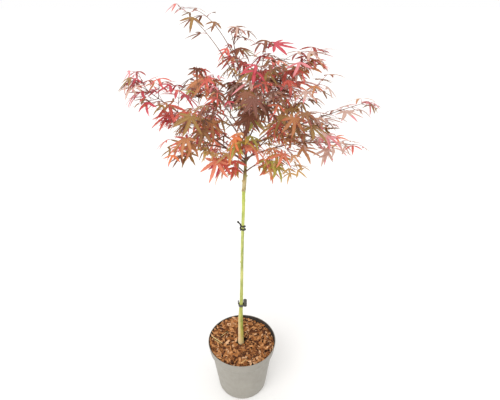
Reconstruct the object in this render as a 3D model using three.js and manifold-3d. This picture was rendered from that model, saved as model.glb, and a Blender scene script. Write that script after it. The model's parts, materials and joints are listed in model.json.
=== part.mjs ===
// A Japanese maple grafted at the top of a clear green stem, in a grey nursery pot topped with bark mulch.
// Units are millimetres. +Z is up, and the origin is the middle of the pot's flat underside.
// Bearings are degrees from +X, the right of the front view, turning towards +Y, the back.

import * as THREE from "three";
import { mergeVertices } from "three/addons/utils/BufferGeometryUtils.js";
import Module from "manifold-3d";

const wasm = await Module();
wasm.setup();

// Clearances
const SEAT_GAP = 0.3;
const SPACE_GAP = 1.5;
const LIMB_GAP = 0.6;

// Pot
const POT_HEIGHT = 229;
const POT_BASE_RADIUS = 94;
const POT_BODY_RADIUS = 117;
const POT_RIM_RADIUS = 130;
const POT_WALL = 2;
const POT_FLOOR = 3;
const POT_SIDES = 36;
const COLLAR_HEIGHT = 44;
const COLLAR_FLARE = 4;
const COLLAR_LIP = 5;
const FOOT_BEVEL = 4;
const RIM_BEVEL = 1.5;
const DRAIN_HOLES = 8;
const DRAIN_RADIUS = 7;
const DRAIN_CIRCLE = 72;
const DRAIN_SIDES = 8;

// Mulch
const MULCH_TOP = 207;
const MULCH_GAP = 0.7;
const CHIP_COUNT = 26;
const CHIP_LENGTH = [13, 26];
const CHIP_WIDTH = [7, 13];
const CHIP_THICKNESS = [4, 7];
const CHIP_PINCH = 0.38;
const CHIP_SHORTEN = 0.2;
const CHIP_TILT = [50, 36];
const CHIP_STAND = 0.12;
const CHIP_CLEAR_OF_STEM = 30;
const CHIP_CLEAR_OF_WALL = 4;
const CHIP_SEED = 5;

// Stem, from the mulch to its tip: height, sideways place and radius at each level.
// It flares at the foot, runs slim and green to the graft, swells there and thins above the fork.
const STEM_LEVELS = [
  [MULCH_TOP + SEAT_GAP, -4, 12.4],
  [222, -4, 11.2],
  [250, -4, 10.2],
  [305, -4.4, 9.3],
  [345, -4, 8.6],
  [380, -2.6, 7.2],
  [437, 0, 5.9],
  [540, 2.4, 5.2],
  [649, 4.7, 5],
  [740, 7.4, 5.1],
  [805, 10.2, 5.3],
  [862, 11, 5.4],
  [872, 11.6, 6.6],
  [900, 13.6, 7.3],
  [926, 15.4, 7.2],
  [944, 16.4, 5.6],
  [990, 18.8, 4.5],
  [1040, 20, 3.9],
  [1068, 21, 3.3],
];
const STEM_SIDES = 12;
const FORK_HEIGHT = 930;
const CROWN_AXIS = 17;

// Ties left on the stem: the upper one is soft tube wound twice round it, with a knob on its free end,
// and the lower one is a flat band with a buckle block on the right and its short end on the left
const UPPER_TIE_HEIGHT = 738;
const UPPER_TIE_RADIUS = [7.6, 9.4];
const UPPER_TIE_THICKNESS = 1.7;
const UPPER_TIE_PITCH = 13.5;
const UPPER_TIE_TURNS = 2;
const UPPER_TIE_START = 160;
const UPPER_TIE_STEPS = 26;
const FREE_END = [-6, -2, 8];
const KNOB = { foot: 2.4, head: 3.6, length: 8, sides: 8 };
const LOWER_TIE_HEIGHT = 409;
const BAND_WIDTH = 9;
const BAND_THICKNESS = 2.6;
const BAND_SLACK = 0.6;
const BAND_SIDES = 16;
const BUCKLE = { width: 11, depth: 15, height: 25, corner: 3.5, drop: 12, back: 5 };
const BAND_END = { width: 4, depth: 4, height: 17, drop: 1 };

// Shoots: each is one curve that rises from its parent and ends at bearing, reach and rise above the fork.
// The first share of the curve is the bough, and the rest is the stem of a mass of foliage of that width.
// A parent is the stem, with the height where the shoot leaves it, or a shoot, with a share of its length.
// The two whips have no twigs and a longer stretch from one pair of leaves to the next.
// Columns: name, parent, at, bearing, reach, rise, arch, share, width, leaf and, on the whips, habit.
const SHOOTS = [
  ["low_left", "stem", 933, 232, 142, 124, 14, 0.3, 88, 70],
  ["low_right", "stem", 937, 313, 158, 112, 22, 0.36, 88, 70],
  ["left_far", "stem", 968, 191, 292, 292, 8, 0.46, 76, 58],
  ["left_low", "left_far", 0.2, 214, 214, 124, 26, 0.28, 96, 70],
  ["left_high", "stem", 1044, 196, 130, 322, 14, 0.34, 92, 60],
  ["front_left", "stem", 992, 238, 232, 232, 34, 0.3, 100, 78],
  ["front", "stem", 1008, 272, 246, 272, 30, 0.34, 92, 80],
  ["front_low", "stem", 984, 266, 186, 176, 26, 0.3, 92, 70],
  ["front_right", "stem", 1000, 306, 228, 236, 34, 0.3, 100, 76],
  ["right_low", "stem", 982, 342, 306, 128, 52, 0.4, 88, 66],
  ["right_far", "stem", 1016, 4, 350, 212, 16, 0.5, 66, 58],
  ["right_high", "right_far", 0.24, 338, 204, 286, 26, 0.3, 96, 68],
  ["top_right", "stem", 1058, 18, 196, 344, 22, 0.34, 78, 62],
  ["top", "stem", 1066, 14, 62, 372, 0, 0.36, 84, 66],
  ["top_front", "stem", 1048, 287, 110, 326, 18, 0.32, 84, 66],
  ["whip_left", "top", 0.28, 174, 166, 462, 74, 0.56, 52, 46, { internode: 50, twigs: 0 }],
  ["top_left", "top", 0.16, 125, 60, 396, 0, 0.74, 80, 60],
  ["back_left", "stem", 1020, 130, 232, 240, 26, 0.38, 92, 74],
  ["back", "stem", 1004, 94, 246, 220, 26, 0.38, 92, 74],
  ["back_right", "stem", 1026, 58, 236, 246, 26, 0.38, 92, 74],
  ["back_left_low", "stem", 976, 150, 218, 142, 30, 0.34, 88, 70],
  ["back_right_low", "stem", 970, 40, 216, 132, 30, 0.34, 88, 70],
  ["back_high", "stem", 1050, 96, 128, 322, 20, 0.38, 88, 70],
  ["whip_top", "top_left", 0.66, 150, 187, 455, 84, 0.3, 52, 46, { internode: 44, twigs: 0 }],
].map(([name, parent, at, bearing, reach, rise, arch, share, width, leaf, habit]) => {
  return { name, parent, at, bearing, reach, rise, arch, share, width, leaf, ...habit };
});
const BOUGH_SIDES = 5;
const BOUGH_RINGS = 4;
const BOUGH_ROOT_RADIUS = 1.9;
const BOUGH_GROWTH = 0.0042;
const BOUGH_TIP_RADIUS = 2;
const BOUGH_PER_CHILD = 0.5;
const CONTROL_SHARE = 0.45;

// Growth inside a mass
const CROWN_SEED = 88;
const TWIG_SIDES = 3;
const STEM_RINGS = 3;
const STEM_TIP_RADIUS = 1.3;
const TWIG_ROOT_RADIUS = 1.2;
const TWIG_TIP_RADIUS = 1.1;
const NODE_INSET = 2;
const INTERNODE = 30;
const TWIG_CHANCE = 0.4;
const TWIG_REACH = [0.45, 0.8];
const TWIG_LIFT = 0.12;
const TWIG_TRIES = 5;
const BRANCHING_ANGLE = [42, 62];
const NODE_LAG = 0.35;
const MASS_ROLL_JITTER = 0.7;
const TWIG_ROLL_JITTER = 0.8;
const TWIG_MIDDLE = 0.55;
const TWIG_END_SIZE = 0.8;
const SIZE_JITTER = 0.2;

// Leaves: lobes by their angle from the middle lobe and their share of the leaf's length.
// A small young leaf has only three.
const LOBES = [
  [-84, 0.58],
  [-41, 0.9],
  [0, 1],
  [41, 0.9],
  [84, 0.58],
];
const YOUNG_LOBES = [
  [-58, 0.78],
  [0, 1],
  [58, 0.78],
];
const YOUNG_SIZE = 42;
const NOTCH_SHARE = 0.32;
const HEEL_HALF_WIDTH = 1.1;
const RIDGE_SHARE = 0.025;
const LEAF_DROOP = 0.2;
const PETIOLE_SHARE = [0.35, 0.8];
const PETIOLE_TAPER = 0.3;
const PETIOLE_RADIUS = 1;
const PETIOLE_LIFT = 0.12;
const PETIOLE_SLOPE = [-0.3, 0.5];
const HANG = [0, 52];
const LEAF_ROLL = 24;
const LEAF_SWING = 50;
const OUTWARD_PULL = 0.35;
const TIP_LEAF_SIZE = 0.62;
const LEAF_SPACING = 0.72;
const LEAF_TRIES = 20;
const FEWEST_TWIG_LEAVES = 2;
const SHRINK = 0.02;
const LEAF_GAP = 0.06;
const LOBE_HALF_WIDTH = 0.1;
const CROWN_FLOOR = 944;

// Colours
const COLOURS = {
  pot: 0xa7a59c,
  mulch: 0x8a5a35,
  stem: 0xb4bf55,
  bough: 0x5d4438,
  tie: 0x3b3a36,
  tips: 0xc8434a,
  bronze: 0x7d4238,
  low: 0xb06a3a,
};
const LOW_RISE = 150;
const TIP_LEAF = 48;

const UP = new THREE.Vector3(0, 0, 1);
const radians = THREE.MathUtils.degToRad;

// The same draws on every run: numbers from 0 to 1 out of one whole number
function seededDraws(seed) {
  let state = seed * 7919 + 17;
  const draw = () => {
    state = (state * 1664525 + 1013904223) % 4294967296;
    return state / 4294967296;
  };
  draw();
  draw();
  return draw;
}

const between = (draw, [low, high]) => low + (high - low) * draw();

// Solids

function toSolid(geometry) {
  const bare = geometry.clone();
  bare.deleteAttribute("normal");
  bare.deleteAttribute("uv");
  const merged = mergeVertices(bare, 1e-4);
  return new wasm.Manifold(
    new wasm.Mesh({
      numProp: 3,
      vertProperties: merged.getAttribute("position").array,
      triVerts: new Uint32Array(merged.index.array),
    }),
  );
}

function toGeometry(solid) {
  const mesh = solid.getMesh();
  const geometry = new THREE.BufferGeometry();
  geometry.setAttribute("position", new THREE.BufferAttribute(mesh.vertProperties, 3));
  geometry.setIndex(new THREE.BufferAttribute(mesh.triVerts, 1));
  geometry.computeVertexNormals();
  return geometry;
}

// The largest closed body of a solid: loose scraps and sealed hollows are left behind
function largestBody(solid) {
  return solid.decompose().reduce((best, body) => (body.volume() > best.volume() ? body : best));
}

function join(solids) {
  let level = solids;
  while (level.length > 1) {
    const next = [];
    for (let i = 0; i < level.length; i += 2) {
      next.push(i + 1 < level.length ? level[i].add(level[i + 1]) : level[i]);
    }
    level = next;
  }
  return largestBody(level[0]);
}

// A round limb with flat ends: a cylinder bent along its centre points, with a radius at each
function limbGeometry(points, radii, sides) {
  const rings = points.length - 1;
  const geometry = new THREE.CylinderGeometry(1, 1, 1, sides, rings);
  const position = geometry.getAttribute("position");
  const frames = points.map((point, i) => frameAt(points, i));
  for (let i = 0; i < position.count; i++) {
    const ring = Math.round((position.getY(i) + 0.5) * rings);
    const { across, over } = frames[ring];
    const place = points[ring]
      .clone()
      .addScaledVector(across, position.getX(i) * radii[ring])
      .addScaledVector(over, position.getZ(i) * radii[ring]);
    position.setXYZ(i, place.x, place.y, place.z);
  }
  return geometry;
}

function frameAt(points, i) {
  const before = points[Math.max(i - 1, 0)];
  const after = points[Math.min(i + 1, points.length - 1)];
  const along = after.clone().sub(before).normalize();
  const whole = points[points.length - 1].clone().sub(points[0]).normalize();
  const steady = Math.abs(whole.z) < 0.8 ? UP : new THREE.Vector3(0, 1, 0);
  const across = steady.clone().addScaledVector(along, -steady.dot(along)).normalize();
  return { across, over: across.clone().cross(along) };
}

function limbSolid(points, radii, sides) {
  return toSolid(limbGeometry(points, radii, sides));
}

// Pot

function potOutline() {
  const collarFoot = POT_HEIGHT - COLLAR_HEIGHT;
  const outerFoot = POT_RIM_RADIUS - COLLAR_FLARE;
  return [
    [0, 0],
    [POT_BASE_RADIUS - FOOT_BEVEL, 0],
    [POT_BASE_RADIUS, FOOT_BEVEL],
    [POT_BODY_RADIUS, collarFoot],
    [outerFoot, collarFoot + COLLAR_LIP],
    [POT_RIM_RADIUS - RIM_BEVEL, POT_HEIGHT - 2 * RIM_BEVEL],
    [POT_RIM_RADIUS, POT_HEIGHT],
    [POT_RIM_RADIUS - POT_WALL, POT_HEIGHT],
    [outerFoot - POT_WALL, collarFoot + COLLAR_LIP + POT_WALL],
    [POT_BODY_RADIUS - POT_WALL, collarFoot + POT_WALL],
    [POT_BASE_RADIUS - POT_WALL, FOOT_BEVEL + POT_FLOOR],
    [POT_BASE_RADIUS - POT_WALL - FOOT_BEVEL, POT_FLOOR],
    [0, POT_FLOOR],
  ];
}

function lathe(outline, sides) {
  const profile = outline.map(([radius, height]) => new THREE.Vector2(radius, height));
  return new THREE.LatheGeometry(profile, sides).rotateX(Math.PI / 2);
}

function potGeometry() {
  let pot = toSolid(lathe(potOutline(), POT_SIDES));
  for (let i = 0; i < DRAIN_HOLES; i++) {
    const hole = new THREE.CylinderGeometry(DRAIN_RADIUS, DRAIN_RADIUS, 4 * POT_FLOOR, DRAIN_SIDES);
    hole.rotateX(Math.PI / 2);
    const turn = (2 * Math.PI * i) / DRAIN_HOLES;
    hole.translate(DRAIN_CIRCLE * Math.cos(turn), DRAIN_CIRCLE * Math.sin(turn), POT_FLOOR / 2);
    pot = pot.subtract(toSolid(hole));
  }
  return toGeometry(pot);
}

// Mulch: the filled inside of the pot, with bark chips standing out of its top

function mulchOutline() {
  const collarFoot = POT_HEIGHT - COLLAR_HEIGHT;
  const inset = POT_WALL + MULCH_GAP;
  const floor = POT_FLOOR + SEAT_GAP;
  const topRadius = POT_RIM_RADIUS - COLLAR_FLARE - inset;
  return [
    [0, floor],
    [POT_BASE_RADIUS - inset - FOOT_BEVEL - MULCH_GAP, floor],
    [POT_BASE_RADIUS - inset, FOOT_BEVEL + POT_FLOOR + MULCH_GAP],
    [POT_BODY_RADIUS - inset, collarFoot + POT_WALL + MULCH_GAP],
    [topRadius, collarFoot + COLLAR_LIP + POT_WALL + MULCH_GAP],
    [topRadius, MULCH_TOP],
    [0, MULCH_TOP],
  ];
}

function chipSolid(draw, wallRadius) {
  const size = [between(draw, CHIP_LENGTH), between(draw, CHIP_WIDTH), between(draw, CHIP_THICKNESS)];
  const chip = new THREE.BoxGeometry(...size);
  chip.deleteAttribute("normal");
  chip.deleteAttribute("uv");
  const merged = mergeVertices(chip, 1e-4);
  const corner = merged.getAttribute("position");
  for (let i = 0; i < corner.count; i++) {
    const pinch = 1 - CHIP_PINCH * draw();
    const shorten = 1 - CHIP_SHORTEN * draw();
    corner.setXYZ(i, corner.getX(i) * shorten, corner.getY(i) * pinch, corner.getZ(i) * pinch);
  }
  const [tiltX, tiltY] = CHIP_TILT.map((most) => radians(most * (draw() - 0.5)));
  merged.rotateX(tiltX).rotateY(tiltY).rotateZ(2 * Math.PI * draw());
  const furthest = wallRadius - CHIP_LENGTH[1] / 2 - CHIP_CLEAR_OF_WALL;
  const out = CHIP_CLEAR_OF_STEM + Math.sqrt(draw()) * (furthest - CHIP_CLEAR_OF_STEM);
  const turn = 2 * Math.PI * draw();
  merged.translate(out * Math.cos(turn), out * Math.sin(turn), MULCH_TOP + size[2] * CHIP_STAND);
  return toSolid(merged);
}

function mulchGeometry() {
  const draw = seededDraws(CHIP_SEED);
  const outline = mulchOutline();
  const wallRadius = outline[outline.length - 2][0];
  const chips = Array.from({ length: CHIP_COUNT }, () => chipSolid(draw, wallRadius));
  return toGeometry(join([toSolid(lathe(outline, POT_SIDES)), ...chips]));
}

// Stem

const stemPoints = STEM_LEVELS.map(([height, sideways]) => new THREE.Vector3(sideways, 0, height));
const stemRadii = STEM_LEVELS.map(([, , radius]) => radius);

// The level just under a height, and how far above it the height is as a share of the step
function stemStep(height) {
  const last = STEM_LEVELS.length - 2;
  const i = Math.min(last, Math.max(0, STEM_LEVELS.findIndex(([level]) => level > height) - 1));
  const share = (height - STEM_LEVELS[i][0]) / (STEM_LEVELS[i + 1][0] - STEM_LEVELS[i][0]);
  return [i, share];
}

function stemPointAt(height) {
  const [i, share] = stemStep(height);
  return stemPoints[i].clone().lerp(stemPoints[i + 1], share);
}

// Ties

function upperTieGeometry() {
  const middle = stemPointAt(UPPER_TIE_HEIGHT);
  const winding = [];
  for (let i = 0; i <= UPPER_TIE_STEPS; i++) {
    const share = i / UPPER_TIE_STEPS;
    const angle = radians(UPPER_TIE_START) + share * UPPER_TIE_TURNS * 2 * Math.PI;
    const radius = UPPER_TIE_RADIUS[0] + (UPPER_TIE_RADIUS[1] - UPPER_TIE_RADIUS[0]) * share;
    const height = UPPER_TIE_PITCH * UPPER_TIE_TURNS * (0.5 - share);
    const offset = new THREE.Vector3(radius * Math.cos(angle), radius * Math.sin(angle), height);
    winding.push(middle.clone().add(offset));
  }
  const freeEnd = new THREE.Vector3(...FREE_END);
  const freePoints = [1, 0.5].map((share) => winding[0].clone().addScaledVector(freeEnd, share));
  const section = new THREE.Shape();
  section.absarc(0, 0, UPPER_TIE_THICKNESS, 0, 2 * Math.PI);
  const extrudePath = new THREE.CatmullRomCurve3([...freePoints, ...winding]);
  const options = { steps: UPPER_TIE_STEPS, extrudePath, bevelEnabled: false, curveSegments: 3 };
  const tube = toSolid(new THREE.ExtrudeGeometry(section, options));
  const knob = new THREE.CylinderGeometry(KNOB.head, KNOB.foot, KNOB.length, KNOB.sides);
  const outward = freeEnd.clone().normalize();
  knob.applyQuaternion(new THREE.Quaternion().setFromUnitVectors(new THREE.Vector3(0, 1, 0), outward));
  const knobPlace = freePoints[0].clone().addScaledVector(outward, KNOB.length / 4);
  knob.translate(...knobPlace.toArray());
  return toGeometry(largestBody(tube.add(toSolid(knob))));
}

// A box with round upright corners, its foot at height zero
function roundedBlock(width, depth, height, corner) {
  const x = width / 2 - corner;
  const y = depth / 2 - corner;
  const outline = new THREE.Shape();
  outline.absarc(x, y, corner, 0, Math.PI / 2);
  outline.absarc(-x, y, corner, Math.PI / 2, Math.PI);
  outline.absarc(-x, -y, corner, Math.PI, 1.5 * Math.PI);
  outline.absarc(x, -y, corner, 1.5 * Math.PI, 2 * Math.PI);
  return new THREE.ExtrudeGeometry(outline, { depth: height, bevelEnabled: false, curveSegments: 3 });
}

function lowerTieGeometry() {
  const middle = stemPointAt(LOWER_TIE_HEIGHT);
  const [level, share] = stemStep(LOWER_TIE_HEIGHT - BAND_WIDTH);
  const stemRadius = stemRadii[level] + (stemRadii[level + 1] - stemRadii[level]) * share;
  const inner = stemRadius + SEAT_GAP + BAND_SLACK;
  const outer = inner + BAND_THICKNESS;
  const half = BAND_WIDTH / 2;
  const section = [
    [inner, -half],
    [outer, -half],
    [outer, half],
    [inner, half],
    [inner, -half],
  ];
  const buckle = roundedBlock(BUCKLE.width, BUCKLE.depth, BUCKLE.height, BUCKLE.corner);
  buckle.translate(inner + BUCKLE.width / 2 + SEAT_GAP, BUCKLE.back, -BUCKLE.drop);
  const end = new THREE.BoxGeometry(BAND_END.width, BAND_END.depth, BAND_END.height);
  end.translate(-outer, 0, BAND_END.height / 2 - BAND_END.drop);
  const tie = join([lathe(section, BAND_SIDES), buckle, end].map(toSolid));
  return toGeometry(tie).translate(middle.x, middle.y, middle.z);
}

// Shoots: curves, boughs and what a leaf has to keep clear of

const shootsByName = new Map(SHOOTS.map((shoot) => [shoot.name, shoot]));

function shootCurve(shoot) {
  if (shoot.curve) return shoot.curve;
  const root =
    shoot.parent === "stem"
      ? stemPointAt(shoot.at)
      : shootCurve(shootsByName.get(shoot.parent)).getPoint(shoot.at);
  const turn = radians(shoot.bearing);
  const tip = new THREE.Vector3(
    CROWN_AXIS + shoot.reach * Math.cos(turn),
    shoot.reach * Math.sin(turn),
    FORK_HEIGHT + shoot.rise,
  );
  const control = root.clone().lerp(tip, CONTROL_SHARE).addScaledVector(UP, shoot.arch);
  shoot.curve = new THREE.QuadraticBezierCurve3(root, control, tip);
  return shoot.curve;
}

function curvePoints(curve, from, to, steps) {
  return Array.from({ length: steps + 1 }, (_, i) => curve.getPoint(from + ((to - from) * i) / steps));
}

function taper(from, to, steps) {
  return Array.from({ length: steps + 1 }, (_, i) => from + ((to - from) * i) / steps);
}

function boughLine(shoot) {
  const curve = shootCurve(shoot);
  const carried = SHOOTS.filter((other) => other.parent === shoot.name).length;
  const root = BOUGH_ROOT_RADIUS + BOUGH_GROWTH * curve.getLength() * shoot.share + BOUGH_PER_CHILD * carried;
  return {
    points: curvePoints(curve, 0, shoot.share, BOUGH_RINGS),
    radii: taper(root, BOUGH_TIP_RADIUS, BOUGH_RINGS),
  };
}

const grown = (radii, by) => radii.map((radius) => radius + by);

// A bough is cut clear of the stem or bough that carries it
function boughGeometry(shoot) {
  const { points, radii } = boughLine(shoot);
  const bough = limbSolid(points, radii, BOUGH_SIDES);
  let carrier;
  if (shoot.parent === "stem") {
    carrier = limbSolid(stemPoints, grown(stemRadii, SEAT_GAP), STEM_SIDES);
  } else {
    const parent = boughLine(shootsByName.get(shoot.parent));
    carrier = limbSolid(parent.points, grown(parent.radii, SEAT_GAP), BOUGH_SIDES);
  }
  return toGeometry(largestBody(bough.subtract(carrier)));
}

// Every stretch of stem and bough, as a segment with its radius
function limbSegments(points, radii) {
  return points.slice(1).map((to, i) => {
    return { from: points[i], to, radius: Math.max(radii[i], radii[i + 1]) };
  });
}

const LIMBS = [
  ...limbSegments(stemPoints, stemRadii),
  ...SHOOTS.flatMap((shoot) => {
    const { points, radii } = boughLine(shoot);
    return limbSegments(points, radii);
  }),
];

// The middle line of each mass, which also divides the crown's space among them
const AXIS_STEPS = 3;
const AXES = new Map(
  SHOOTS.map((shoot) => [shoot.name, curvePoints(shootCurve(shoot), shoot.share, 1, AXIS_STEPS)]),
);

function clamp01(x) {
  return Math.min(1, Math.max(0, x));
}

function distanceToLine(point, line) {
  let nearest = Infinity;
  for (let i = 0; i + 1 < line.length; i++) {
    const step = line[i + 1].clone().sub(line[i]);
    const share = clamp01(point.clone().sub(line[i]).dot(step) / step.lengthSq());
    nearest = Math.min(nearest, point.distanceTo(line[i].clone().addScaledVector(step, share)));
  }
  return nearest;
}

// The least distance between two segments
function segmentGap(a, b, c, d) {
  const u = b.clone().sub(a);
  const v = d.clone().sub(c);
  const w = a.clone().sub(c);
  const uu = u.lengthSq();
  const vv = v.lengthSq();
  const uv = u.dot(v);
  const uw = u.dot(w);
  const vw = v.dot(w);
  const spread = uu * vv - uv * uv;
  let s = spread > 1e-9 ? clamp01((uv * vw - vv * uw) / spread) : 0;
  const t = clamp01((uv * s + vw) / vv);
  s = clamp01((uv * t - uw) / uu);
  return a.clone().addScaledVector(u, s).distanceTo(c.clone().addScaledVector(v, t));
}

function clearOfLimbs(a, b, clearance) {
  return LIMBS.every((limb) => segmentGap(a, b, limb.from, limb.to) > limb.radius + clearance);
}

// A point is in a mass's space when it is near that mass's line and nearer to it than to any other
function inSpace(shoot, point) {
  if (point.z < CROWN_FLOOR) return false;
  const own = distanceToLine(point, AXES.get(shoot.name));
  if (own > shoot.width) return false;
  for (const [name, line] of AXES) {
    if (name !== shoot.name && distanceToLine(point, line) < own + SPACE_GAP) return false;
  }
  return true;
}

// Leaves

// Where a leaf lies: its heel at the petiole's end, the way its middle lobe points, and its upper face
function leafPose(draw, node, outward, size) {
  const away = new THREE.Vector3(node.x - CROWN_AXIS, node.y, 0).normalize();
  const reach = outward.clone().addScaledVector(away, OUTWARD_PULL);
  reach.z = THREE.MathUtils.clamp(reach.z + PETIOLE_LIFT, ...PETIOLE_SLOPE);
  reach.normalize().applyAxisAngle(UP, radians(LEAF_SWING * (2 * draw() - 1)));
  const heel = node.clone().addScaledVector(reach, size * between(draw, PETIOLE_SHARE));
  const heading = new THREE.Vector3(reach.x, reach.y, 0).normalize();
  const hang = radians(between(draw, HANG));
  const along = heading.clone().multiplyScalar(Math.cos(hang)).addScaledVector(UP, -Math.sin(hang));
  const face = heading.clone().multiplyScalar(Math.sin(hang)).addScaledVector(UP, Math.cos(hang));
  face.applyAxisAngle(along, radians(LEAF_ROLL * (2 * draw() - 1)));
  const lobes = size < YOUNG_SIZE ? YOUNG_LOBES : LOBES;
  return { node, heel, along, face, across: face.clone().cross(along), size, lobes };
}

// A point of the blade, a shallow cone: its angle from the middle lobe and its share of the leaf's length
function bladePoint(leaf, degrees, share) {
  const angle = radians(degrees);
  return leaf.heel
    .clone()
    .addScaledVector(leaf.along, leaf.size * share * Math.cos(angle))
    .addScaledVector(leaf.across, leaf.size * share * Math.sin(angle))
    .addScaledVector(leaf.face, -leaf.size * share * LEAF_DROOP);
}

// The blade's outline, from one side of the heel round the lobes to the other
function leafRim(leaf) {
  const { heelLeft, heelRight } = heelSection(leaf);
  const rim = [heelLeft];
  leaf.lobes.forEach(([angle, share], i) => {
    rim.push(bladePoint(leaf, angle, share));
    if (i + 1 === leaf.lobes.length) return;
    const notch = (angle + leaf.lobes[i + 1][0]) / 2;
    rim.push(bladePoint(leaf, notch, NOTCH_SHARE));
  });
  rim.push(heelRight);
  return rim;
}

// The section where petiole and blade meet lies halfway between their directions
function heelSection({ node, heel, along, across, face, size }) {
  const outward = heel.clone().sub(node).normalize();
  const through = outward.add(along).normalize();
  const side = across.clone().addScaledVector(through, -across.dot(through)).normalize();
  const rise = through.clone().cross(side);
  if (rise.dot(face) < 0) rise.negate();
  return {
    heelLeft: heel.clone().addScaledVector(side, -HEEL_HALF_WIDTH),
    heelRight: heel.clone().addScaledVector(side, HEEL_HALF_WIDTH),
    ridge: heel.clone().addScaledVector(rise, size * RIDGE_SHARE),
  };
}

// A lobed blade with a ridge over its heel, and a three-sided petiole that narrows evenly into the twig
function leafSolid(leaf) {
  const rim = leafRim(leaf);
  const { ridge } = heelSection(leaf);
  const last = rim.length - 1;
  const heelRing = [rim[0], ridge, rim[last]];
  const rootRing = heelRing.map((point) => {
    return point.clone().sub(leaf.heel).multiplyScalar(PETIOLE_TAPER).add(leaf.node);
  });
  const points = [...rim, ridge, ...rootRing];
  const ridgeAt = last + 1;
  const heelAt = [0, ridgeAt, last];
  const rootAt = [last + 2, last + 3, last + 4];
  const faces = [rootAt];
  for (let i = 0; i < last; i++) {
    faces.push([ridgeAt, i, i + 1]);
  }
  // Underside: a triangle under each lobe, and a fan from one side of the heel under the notches
  for (let i = 1; i < last; i += 2) {
    faces.push([i - 1, i + 1, i]);
  }
  for (let i = 2; i + 2 <= last; i += 2) {
    faces.push([0, i + 2, i]);
  }
  heelAt.forEach((corner, i) => {
    const next = (i + 1) % heelAt.length;
    faces.push([corner, heelAt[next], rootAt[next]], [corner, rootAt[next], rootAt[i]]);
  });
  return closedSolid(points, faces);
}

function closedSolid(points, faces) {
  const build = (list) =>
    new wasm.Manifold(
      new wasm.Mesh({
        numProp: 3,
        vertProperties: new Float32Array(points.flatMap((point) => point.toArray())),
        triVerts: new Uint32Array(list.flat()),
      }),
    );
  const made = build(faces);
  return made.volume() > 0 ? made : build(faces.map(([a, b, c]) => [a, c, b]));
}

// The petiole and the middle line of each lobe
function leafLines(leaf) {
  const lobeLines = leaf.lobes.map(([angle, share]) => [leaf.heel, bladePoint(leaf, angle, share)]);
  return [[leaf.node, leaf.heel], ...lobeLines];
}

// Two leaves clash where a lobe of one comes too near to a lobe or the petiole of the other
function leavesClash(leaf, other) {
  const apart = leaf.heel.distanceTo(other.heel);
  if (apart < LEAF_SPACING * Math.min(leaf.size, other.size)) return true;
  if (apart > 1.1 * (leaf.size + other.size)) return false;
  const gap = LEAF_GAP * Math.min(leaf.size, other.size);
  const others = leafLines(other);
  return leafLines(leaf).some(([a, b], i) => {
    return others.some(([c, d], j) => (i > 0 || j > 0) && segmentGap(a, b, c, d) < gap);
  });
}

function leafFits(shoot, leaf, mass) {
  if (![leaf.heel, ...leafRim(leaf)].every((point) => inSpace(shoot, point))) return false;
  const lobeGap = LIMB_GAP + LOBE_HALF_WIDTH * leaf.size;
  const [petiole, ...lobes] = leafLines(leaf);
  return (
    clearOfLimbs(...petiole, LIMB_GAP + PETIOLE_RADIUS) &&
    lobes.every(([a, b]) => clearOfLimbs(a, b, lobeGap)) &&
    !mass.leaves.some((other) => leavesClash(leaf, other)) &&
    !lobes.some(([a, b]) => mass.lines.some(([c, d]) => segmentGap(a, b, c, d) < LEAF_GAP * leaf.size))
  );
}

// Growth of one mass: pairs of leaves or twigs at each node, each pair turned a quarter from the last

function sideways(along, roll) {
  const level = UP.clone().addScaledVector(along, -UP.dot(along)).normalize();
  return level.applyAxisAngle(along, roll);
}

function branchOff(draw, along, roll) {
  const angle = radians(between(draw, BRANCHING_ANGLE));
  return along
    .clone()
    .multiplyScalar(Math.cos(angle))
    .addScaledVector(sideways(along, roll), Math.sin(angle))
    .normalize();
}

// A leaf that has no room in one pose is tried in a few others, each a little smaller
function addLeaf(shoot, draw, mass, node, outward, size) {
  for (let attempt = 0; attempt < LEAF_TRIES; attempt++) {
    const leaf = leafPose(draw, node, outward, size * (1 - SHRINK * attempt));
    if (leafFits(shoot, leaf, mass)) {
      mass.leaves.push(leaf);
      return;
    }
  }
}

// A twig is kept where at least two leaves find room on it
function growTwig(shoot, draw, mass, root, along, roll, size) {
  for (let attempt = 0; attempt < TWIG_TRIES; attempt++) {
    const direction = branchOff(draw, along, roll + TWIG_ROLL_JITTER * (draw() - 0.5));
    const reach = shoot.width * between(draw, TWIG_REACH);
    const tip = root.clone().addScaledVector(direction, reach).addScaledVector(UP, reach * TWIG_LIFT);
    if (!inSpace(shoot, tip) || !clearOfLimbs(root, tip, LIMB_GAP + TWIG_ROOT_RADIUS)) continue;
    const leavesBefore = mass.leaves.length;
    mass.lines.push([root, tip]);
    const turn = Math.PI / 2 + TWIG_ROLL_JITTER * (draw() - 0.5);
    const end = root.clone().lerp(tip, 1 - NODE_INSET / root.distanceTo(tip));
    const middle = root.clone().lerp(tip, TWIG_MIDDLE);
    for (const side of [0, Math.PI]) {
      addLeaf(shoot, draw, mass, end, branchOff(draw, direction, turn + side), size * TWIG_END_SIZE);
    }
    for (const side of [Math.PI / 2, -Math.PI / 2]) {
      addLeaf(shoot, draw, mass, middle, branchOff(draw, direction, turn + side), size);
    }
    if (mass.leaves.length >= leavesBefore + FEWEST_TWIG_LEAVES) {
      mass.twigs.push({ points: [root, tip], radii: [TWIG_ROOT_RADIUS, TWIG_TIP_RADIUS] });
      return;
    }
    mass.leaves.length = leavesBefore;
    mass.lines.pop();
  }
  addLeaf(shoot, draw, mass, root, branchOff(draw, along, roll), size);
}

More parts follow.
